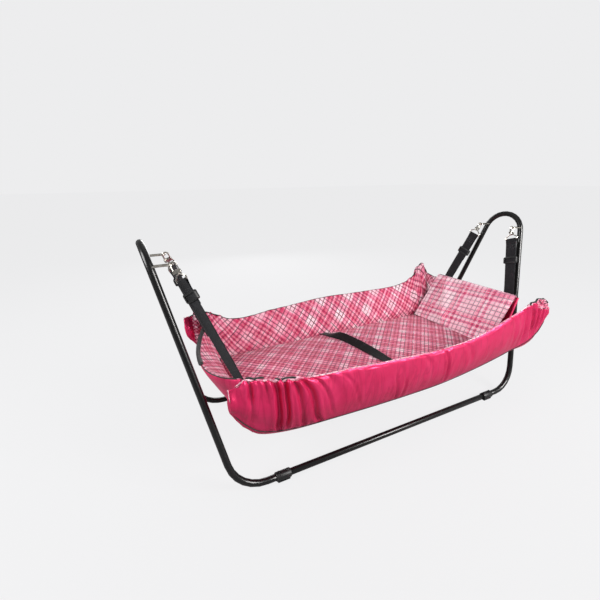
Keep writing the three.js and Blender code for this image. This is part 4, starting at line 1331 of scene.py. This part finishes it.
headPadSettings = {
    "out": 532,
    "footOut": 408,
    "height": 240,
    "halfWidth": 180,
    "thickness": 18,
    "fold": 3,
    "foldAt": 0.63,
    "foldWidth": 0.09,
    "slackFrom": (0.3, 0.86),
    "slackWidth": 20,
    "ridge": 12,
    "valley": 9,
    "clearance": 0.4,
    "columns": 110,
    "rows": 100,
}


padRim, padFold = [], []


def makeHeadPad():
    s = headPadSettings
    at, normal = headPlate()

    def fold(y):
        t = (y / s["halfWidth"] - s["foldAt"]) / s["foldWidth"]
        return s["fold"] * math.exp(-t * t)

    def footAt(y):
        return Vector((s["footOut"] + fold(y), y, basket["mattressTop"] - basket["mattressCrown"]))

    def rimAt(y):
        return Vector((s["out"], y, basket["lowest"] + s["height"] - s["thickness"] / 4))

    def thickness(y, share):
        edge = math.sqrt(max(0, 1 - (abs(y) / (s["halfWidth"] + 1)) ** 10))
        puff = 1 + 0.25 * noise.noise(Vector((y / 60, share * 4, 5)))
        return (s["thickness"] * edge - fold(y)) * puff

    def keepOff(point):
        plate = at(point.z)
        inside = -(point - Vector((plate.x, point.y, plate.z))).dot(normal)
        height = (point.z - basket["mattressTop"]) / (s["height"] - basket["mattressTop"] + basket["lowest"])
        centre = s["halfWidth"] * blendTo(*s["slackFrom"], min(max(height, 0), 1))
        t = (point.y - centre) / s["slackWidth"]
        push = s["ridge"] * math.exp(-((t + 1.5) ** 2)) - s["valley"] * math.exp(-t * t)
        point -= normal * (push * ease(inside, 8, 18) * ease(height, -0.05, 0.15))
        top = mattressTopAt(point.x, point.y) + s["clearance"]
        if point.x < basket["floorHalfLength"] - basket["mattressHeadGap"] and point.z < top:
            point.z = top
        keepOffRolls(point)
        plate = at(point.z)
        off = (point - Vector((plate.x, point.y, plate.z))).dot(normal)
        limit = -headWallSettings["thickness"] / 2 - s["clearance"]
        if off > limit:
            point -= normal * (off - limit)
        return point

    span = [s["halfWidth"] * (k / 50 - 0.98) for k in range(99)]
    padRim.extend(rimAt(y) for y in span)
    padFold.extend(footAt(y) + Vector((-thickness(y, 1) / 2, 0, 3)) for y in span)
    pad = slantedPad(
        "headPad", footAt, rimAt, thickness, s["halfWidth"], s["columns"], s["rows"], keepOff, [plaidPad]
    )
    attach(pad, "basket")
    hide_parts("head_pad")


floorPanelSettings = {
    "thickness": 9,
    "sag": 8,
    "ripple": 1.2,
    "edgeRound": 4,
    "edgeDrop": 4.5,
    "columns": 150,
    "rows": 96,
}


def makeFloorPanel():
    s = floorPanelSettings
    topHeight = basket["floorUnderside"] + s["thickness"]

    def top(x, y, rim):
        return topHeight - s["edgeDrop"] * (1 - edgeRound(rim, s["edgeRound"]))

    def under(x, y, rim):
        sag = s["sag"] * crown(x, y, basket["floorHalfLength"], basket["floorHalfWidth"])
        ripple = s["ripple"] * noise.noise(Vector((x / 60, y / 40, 9))) * ease(rim, 4, 50)
        full = basket["floorUnderside"] - sag + ripple
        return full + s["edgeDrop"] * (1 - edgeRound(rim, s["edgeRound"]))

    panel = flatCushion(
        "floorPanel", -basket["floorHalfLength"], basket["floorHalfLength"], basket["floorHalfWidth"],
        basket["floorCorner"], s["columns"], s["rows"], top, under, [pinkSatin],
    )
    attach(panel, "basket")
    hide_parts("floor_panel")


gussetSettings = {
    "underside": 161.5,
    "thickness": 6.5,
    "clearance": 0.4,
    "from": 15,
    "to": 75,
    "step": 6,
    "underWall": {"head": 0, "foot": 10},
}


def makeGussets():
    # the sewn corners between the floor's rounded corners and the walls
    s = gussetSettings
    shape = bmesh.new()
    weave = shape.loops.layers.uv.new("Weave")
    length, width, corner = (basket[k] for k in ("floorHalfLength", "floorHalfWidth", "floorCorner"))
    for end, out in ends.items():
        far = length + s["underWall"][end]
        for side in sides.values():
            turns = [math.radians(a) for a in range(s["from"], s["to"] + 1, s["step"])]
            reach = corner + s["clearance"]
            arc = [
                (length - corner + reach * math.cos(t), width - corner + reach * math.sin(t)) for t in turns
            ]
            outline = arc + [(arc[-1][0], width), (far, width), (far, arc[0][1])]
            verts = [shape.verts.new(Vector((out * x, side * y, s["underside"])) * mm) for x, y in outline]
            flat = shape.faces.new(verts)
            raised = bmesh.ops.extrude_face_region(shape, geom=[flat])["geom"]
            lifted = [item for item in raised if isinstance(item, bmesh.types.BMVert)]
            bmesh.ops.translate(shape, verts=lifted, vec=(0, 0, s["thickness"] * mm))
    for face in shape.faces:
        for loop in face.loops:
            loop[weave].uv = (loop.vert.co.x, loop.vert.co.y)
    closeUp(shape, 1e-7)
    gussets = objectFrom(shape, "cornerGussets", [plaidMattress], smooth=False)
    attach(gussets, "basket")


makeFootWall()
makeGussets()
makeHeadWall()
makeHeadPad()
makeFloorPanel()
print("end walls, head pad and floor panel sewn")

# Piping, binding and stitches


def addCord(shape, points, radius, flat, thinWay, around=8):
    # a trim swept along points in millimetres, with closed ends; its thin direction leans to thinWay
    last = len(points) - 1
    made = bmesh.ops.create_grid(shape, x_segments=last, y_segments=around, size=0.5)["verts"]
    weave = shape.loops.layers.uv.verify()
    length = sum((b - a).length for a, b in zip(points, points[1:]))
    for face in {face for vert in made for face in vert.link_faces}:
        for corner in face.loops:
            u, v = corner.vert.co.x + 0.5, corner.vert.co.y + 0.5
            corner[weave].uv = (u * length * mm, v * 2 * math.pi * radius * mm)
    rings = []
    for i, point in enumerate(points):
        ahead = (points[min(i + 1, last)] - points[max(i - 1, 0)]).normalized()
        thin = (thinWay - ahead * thinWay.dot(ahead)).normalized()
        wide = ahead.cross(thin)
        size = 0 if i in (0, last) else radius * (0.8 if i in (1, last - 1) else 1)
        turns = [2 * math.pi * k / around for k in range(around)]
        ring = [point + (wide * math.cos(t) + thin * (math.sin(t) * flat)) * size for t in turns]
        rings.append([place * mm for place in ring])
    for vert in made:
        u, v = vert.co.x + 0.5, vert.co.y + 0.5
        vert.co = rings[round(u * last)][round(v * around) % around]


def trimPiece(name, cords, finish):
    # cords is a list of (points, radius, flat, thinWay)
    shape = bmesh.new()
    shape.loops.layers.uv.new("Weave")
    for points, radius, flat, thinWay in cords:
        addCord(shape, points, radius, flat, thinWay)
    closeUp(shape, 1e-6)
    piece = objectFrom(shape, name, [finish])
    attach(piece, "basket")


def between(points, side, start, end, inward, upward, ruffle, pitch):
    # the points whose x lies from start to end, moved towards the basket's middle and up, and ruffled
    made = []
    for point in points:
        if start <= point.x <= end:
            wave = ruffle * math.sin(2 * math.pi * point.x / pitch + 2 * noise.noise(point / 23))
            made.append(point + Vector((0, -side * (inward + wave), upward + wave * 0.4)))
    return made


def eased(points, reach=2):
    # each point moved to the middle of its neighbours
    made = []
    for i in range(len(points)):
        near = points[max(i - reach, 0):i + reach + 1]
        made.append(sum(near, Vector()) / len(near))
    return made


# each cord: from x, to x, inward, upward, ruffle, its pitch, then radius, flatness and thin direction
rimTrims = {
    "frontRimRuffle": [
        ("front", -520, 622, 2.5, 0.4, 0.5, 13, 3.2, 0.5, (0, 0.5, 1)),
        ("front", -506, -350, 2.5, 3, 2.2, 25, 4.8, 0.55, (0, 0.4, 1)),
        ("front", 498, 620, 1, 2.6, 2, 23, 4.6, 0.55, (0, 0.5, 1)),
    ],
    "rollPiping": [
        ("front", -500, -446, 4, 6, 2.4, 33, 3.4, 0.7, (0, 0, 1)),
        ("front", -428, -366, 3.5, 6, 2.4, 33, 3.4, 0.7, (0, 0, 1)),
        ("front", 508, 616, 0, 5.4, 2.4, 29, 3.6, 0.7, (0, 0, 1)),
        ("back", -556, 622, 0.4, 0.6, 0, 14, 1.4, 1, (0, 0, 1)),
        ("back", -552, -440, 3, 2, 1.5, 24, 3.0, 0.6, (0, 0, 1)),
        ("back", 420, 560, 2.5, 1.4, 1.2, 22, 2.2, 0.7, (0, 0, 1)),
    ],
}
lowPiping = {"from": -530, "to": 622, "inward": -0.5, "upward": -0.4, "radius": 1.5, "lean": -0.5}
endBinding = {"from": 16, "to": 34, "out": -2.0, "radius": 2.2, "flat": 0.7}


def rollTrims():
    rims = {name: eased(rollSeams[name, "satinTo"]) for name in sides}
    cords = {
        trim: [
            (between(rims[name], sides[name], *path), radius, flat, Vector(thinWay))
            for name, *path, radius, flat, thinWay in rows
        ]
        for trim, rows in rimTrims.items()
    }
    # the ruffle, like the end binding below, is cut from the plaid copy that carries painted light
    trimPiece("frontRimRuffle", cords["frontRimRuffle"], plaidPad)
    s = lowPiping
    for name, side in sides.items():
        low = between(rollSeams[name, "lowSeam"], side, s["from"], s["to"], s["inward"], s["upward"], 0, 14)
        cords["rollPiping"].append((low, s["radius"], 1, Vector((0, side, s["lean"]))))
    trimPiece("rollPiping", cords["rollPiping"], darkBinding)
    s = endBinding
    bound = []
    for name in sides:
        edge = [rollEnds[name][k] + Vector((s["out"], 0, 0)) for k in range(s["from"], s["to"])]
        bound.append((edge, s["radius"], s["flat"], Vector((1, 0, 0))))
    trimPiece("rollEndBinding", bound, plaidPad)


# each binding: line, radius, flatness, thin direction, shift, and the span of y that it covers
wallBindings = [
    (footRim, 7.2, 0.8, (-0.6, 0, 1), (-1.5, 0, 0.5), (-12, 183)),
    (footSeam, 1.6, 1, (0, 0, 1), (0, 0, 0.6), (-183, -8)),
    (padRim, 1.2, 1, (0, 0, 1), (-0.5, 0, 0.3), (-200, 200)),
    (padFold, 1.2, 1, (0, 0, 1), (-0.5, 0, 0.3), (-200, 200)),
]


def wallTrims():
    cords = []
    for line, radius, flat, thinWay, shift, (start, end) in wallBindings:
        points = [point + Vector(shift) for point in line if start <= point.y <= end]
        cords.append((points, radius, flat, Vector(thinWay)))
    trimPiece("wallBinding", cords, darkBinding)


rollTrims()
wallTrims()
print("pipings and bindings sewn")

# Webbing


bandSettings = {"around": 20, "edgeCrowding": 0.7, "edgeThickness": 0.35}


def webbingBand(name, line, width, thickness, finish):
    # line holds (centre, across, off) in millimetres; the band is a flat tube with rounded edges
    around = bandSettings["around"]
    columns = len(line) - 1
    shape = clothGrid(columns, around)

    def place(u, v):
        centre, across, off = line[round(u * columns)]
        k = round(v * around) % around
        half, thin = width / 2, thickness / 2
        isTop = k < around / 2
        t = (k if isTop else k - around / 2) / (around / 2 - 1)
        reach = -math.cos(math.pi * t) if t not in (0, 1) else (-1 if t == 0 else 1)
        reach = blendTo(2 * t - 1, reach, bandSettings["edgeCrowding"])
        edge = abs(reach) > 0.999
        side = reach * half * (1 if isTop else -1)
        lift = thin * (1 if isTop else -1) * (bandSettings["edgeThickness"] if edge else 1)
        return (centre + across * side + off * lift) * mm

    drape(shape, place)
    closeUp(shape, 1e-6)
    bmesh.ops.holes_fill(shape, edges=[e for e in shape.edges if e.is_boundary])
    closeUp(shape)
    return objectFrom(shape, name, [finish])


def steppedLine(points, step):
    # points is a list of (centre, across, off); adds places between so that none is further than step
    made = [points[0]]
    for a, b in zip(points, points[1:]):
        count = max(1, math.ceil((b[0] - a[0]).length / step))
        for k in range(1, count + 1):
            t = k / count
            across = a[1].lerp(b[1], t).normalized()
            off = a[2].lerp(b[2], t)
            off = (off - across * off.dot(across)).normalized()
            made.append((a[0].lerp(b[0], t), across, off))
    return made


stitchSettings = {"pitch": 4.2, "length": 2.9, "radius": 0.42, "inset": 4.5, "boxTop": 22, "boxLow": 35}


def stitchLine(shape, start, finish, outward):
    # a row of single stitches from start to finish, lying on the face that outward points from
    s = stitchSettings
    count = max(1, int((finish - start).length / s["pitch"]))
    ahead = (finish - start).normalized()
    for k in range(count):
        middle = start.lerp(finish, (k + 0.5) / count)
        bow = outward * s["radius"] * 0.7
        shares = (-1, -0.8, 0, 0.8, 1)
        points = [middle + ahead * (s["length"] * t / 2) + bow * (1 - t * t) for t in shares]
        addCord(shape, points, s["radius"], 0.8, outward, 5)


def stitchBox(shape, corners, outward, crossed=True):
    # a sewn box with its crossing lines
    for a, b in zip(corners, corners[1:] + corners[:1]):
        stitchLine(shape, a, b, outward)
    if crossed:
        stitchLine(shape, corners[0], corners[2], outward)
        stitchLine(shape, corners[1], corners[3], outward)


def strapStitches(end, name, axes):
    s = hangerSettings
    shape = bmesh.new()
    shape.loops.layers.uv.new("Weave")
    half, inset = s["width"] / 2 - stitchSettings["inset"], stitchSettings["inset"]
    top, low = s["ringBar"] - stitchSettings["boxTop"], s["ringBar"] - stitchSettings["boxLow"]

    def boxCorners(centre, across, onward, near, far):
        places = ((-1, near), (1, near), (1, far), (-1, far))
        return [centre + across * (half * a) + onward * d for a, d in places]

    for face in (-1, 1):
        outward = axes["face"] * face
        centre = axes["top"] + outward * (s["layer"] + s["thickness"] / 2)
        stitchBox(shape, boxCorners(centre, axes["across"], axes["upward"], top, low), outward)
    at, normal, down, sideways = sewnLands[end, name]
    centre = at + normal * (s["thickness"] / 2)
    tailBox = boxCorners(centre, sideways, down, inset, s[end]["tail"] - inset)
    stitchBox(shape, tailBox, normal, end == "head")
    closeUp(shape, 1e-7)
    stitches = objectFrom(shape, "stitches" + end.capitalize() + name.capitalize(), [blackThread])
    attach(stitches, "hanger_%s_%s" % (end, name))


def makeStrap(end, name):
    s = hangerSettings
    axes = hangerAxes(end, name)
    doubled, tail = s[end]["doubled"], s[end]["tail"]
    ring, layer, fold = s["ringBar"], s["layer"], s["fold"]
    merge = ring - s["mergeDrop"]
    flat = [(-layer, ring - doubled), (-layer, merge)]
    flat += [(-blendTo(layer, fold, ease(t, 0, 1)), blendTo(merge, ring, t)) for t in (0.25, 0.5, 0.75)]
    for t in range(11):
        flat.append((fold * math.cos(math.pi - math.pi * t / 10), ring + fold * math.sin(math.pi * t / 10)))
    flat += [(blendTo(fold, layer, ease(t, 0, 1)), blendTo(ring, merge, t)) for t in (0.25, 0.5, 0.75)]
    flat += [(layer, merge), (layer, s["width"] - axes["length"])]
    points = []
    for i, (y, z) in enumerate(flat):
        ahead, behind = flat[min(i + 1, len(flat) - 1)], flat[max(i - 1, 0)]
        alongY, alongZ = ahead[0] - behind[0], ahead[1] - behind[1]
        size = math.hypot(alongY, alongZ)
        centre = axes["top"] + axes["face"] * y + axes["upward"] * z
        off = axes["face"] * (alongZ / size) - axes["upward"] * (alongY / size)
        points.append((centre, axes["across"], off))
    at, normal, down, sideways = sewnLands[end, name]
    points += [(at, sideways, -normal), (at + down * tail, sideways, -normal)]
    strapName = "strap" + end.capitalize() + name.capitalize()
    line = steppedLine(points, s["step"])
    strap = webbingBand(strapName, line, s["width"], s["thickness"], charcoalWebbing)
    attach(strap, "hanger_%s_%s" % (end, name))
    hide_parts("strap_%s_%s" % (end, name))
    strapStitches(end, name, axes)


beltSettings = {
    "width": 30,
    "thickness": 2,
    "backOut": -55,
    "frontOut": 26,
    "overMattress": 1.6,
    "twist": 64,
    "turns": (0.04, 0.3, 0.97),
    "steps": 130,
}


def makeLapBelt():
    s = beltSettings
    half = basket["floorHalfWidth"] - basket["clearance"]
    line = []
    start, most, end = s["turns"]
    for i in range(s["steps"] + 1):
        share = i / s["steps"]
        turn = math.radians(s["twist"]) * (ease(share, start, most) - ease(share, most, end))
        x, y = blendTo(s["backOut"], s["frontOut"], share), blendTo(half, -half, share)
        rest = mattressTopAt(x, y) + s["overMattress"] + s["thickness"] / 2
        lowest = basket["mattressTop"] - basket["mattressCrown"] + s["thickness"]
        z = max(rest, lowest) + s["width"] / 2 * math.sin(turn)
        across = Vector((math.cos(turn), 0, math.sin(turn)))
        line.append((Vector((x, y, z)), across, Vector((-across.z, 0, across.x))))
    belt = webbingBand("lapBelt", line, s["width"], s["thickness"], lapWebbing)
    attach(belt, "basket")
    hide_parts("lap_belt")


lapWebbing = webbingFinish("lapWebbing", 0.3)
blackThread = threadFinish()
for end in ends:
    for name in sides:
        makeStrap(end, name)
makeLapBelt()
print("webbing cut and sewn")

# Camera, light and room

cameraSettings = {
    "place": (-0.70522, -0.92687, 0.77664),
    "yaw": 26.385,
    "pitch": -18.726,
    "roll": -0.724,
    "lens": 21.549,
}


def makeCamera():
    s = cameraSettings
    yaw, pitch, roll = (math.radians(s[k]) for k in ("yaw", "pitch", "roll"))
    ahead = Vector((math.sin(yaw) * math.cos(pitch), math.cos(yaw) * math.cos(pitch), math.sin(pitch)))
    right = Vector((math.cos(yaw), -math.sin(yaw), 0))
    above = right.cross(ahead)
    tiltedRight = right * math.cos(roll) + above * math.sin(roll)
    tiltedAbove = above * math.cos(roll) - right * math.sin(roll)
    data = bpy.data.cameras.new("camera")
    data.lens, data.sensor_width = s["lens"], 36
    data.clip_start, data.clip_end = 0.01, 50
    camera = bpy.data.objects.new("camera", data)
    bpy.context.scene.collection.objects.link(camera)
    turn = Matrix((tiltedRight, tiltedAbove, -ahead)).transposed().to_4x4()
    camera.matrix_world = Matrix.Translation(s["place"]) @ turn
    bpy.context.scene.camera = camera


def lamp(name, place, target, size, power, tone):
    data = bpy.data.lights.new(name, "AREA")
    data.shape, data.size, data.energy, data.color = "DISK", size, power, tone
    made = bpy.data.objects.new(name, data)
    bpy.context.scene.collection.objects.link(made)
    made.location = place
    made.rotation_euler = (Vector(target) - Vector(place)).to_track_quat("-Z", "Y").to_euler()


roomSettings = {
    "wall": colour(237, 237, 238),
    "floor": colour(150, 150, 151),
    "floorGlow": 0.84,
    "glowStrength": 1.145,
    "worldLight": 0.26,
    "lamps": {  # place, where it points, size, power, tone
        "keyLamp": ((1.25, -1.95, 1.45), (0, 0, 0.25), 1.1, 80, (1, 0.985, 0.97)),
        "fillLamp": ((-2.4, -0.1, 1.4), (0, 0, 0.3), 1.4, 53, (1, 1, 1)),
        "topLamp": ((0, 0.4, 2.6), (0, 0, 0.3), 2.0, 3, (1, 1, 1)),
        "backLamp": ((0.5, 2.4, 1.1), (0, 0.25, 0.2), 1.6, 26, (1, 1, 1)),
    },
}


def makeRoom():
    s = roomSettings
    floorShape = bmesh.new()
    bmesh.ops.create_grid(floorShape, x_segments=1, y_segments=1, size=30)
    finish = Finish("paleFloor", Roughness=0.9)
    grain = finish.cloud(finish.objectPlace(), 3, 3)
    darker = tuple(c * 0.98 for c in s["floor"][:3]) + (1,)
    finish.drive("Base Color", finish.tint(grain, s["floor"], darker))
    paths = finish.node("ShaderNodeLightPath")
    glow = finish.node("ShaderNodeEmission", {}, {"Color": s["wall"], "Strength": s["glowStrength"]})
    plain = Signal(finish, finish.surface.outputs[0])
    seen = finish.node("ShaderNodeMixShader", {}, {0: paths * s["floorGlow"], 1: plain, 2: glow})
    finish.tree.links.new(seen.socket, finish.end.inputs[0])
    floor = objectFrom(floorShape, "floor", [finish.material], smooth=False)
    world = bpy.data.worlds.new("studio")
    bpy.context.scene.world = world
    world.use_nodes = True
    tree = world.node_tree
    tree.nodes.clear()
    paths = tree.nodes.new("ShaderNodeLightPath")
    seen = tree.nodes.new("ShaderNodeBackground")
    seen.inputs[0].default_value, seen.inputs[1].default_value = s["wall"], 1.0
    light = tree.nodes.new("ShaderNodeBackground")
    light.inputs[0].default_value, light.inputs[1].default_value = (1, 1, 1, 1), s["worldLight"]
    mixed = tree.nodes.new("ShaderNodeMixShader")
    end = tree.nodes.new("ShaderNodeOutputWorld")
    tree.links.new(paths.outputs["Is Camera Ray"], mixed.inputs[0])
    tree.links.new(light.outputs[0], mixed.inputs[1])
    tree.links.new(seen.outputs[0], mixed.inputs[2])
    tree.links.new(mixed.outputs[0], end.inputs[0])
    for name, row in s["lamps"].items():
        lamp(name, *row)
    bpy.context.scene.view_settings.view_transform = "Standard"


makeCamera()
makeRoom()
print("camera and room ready")
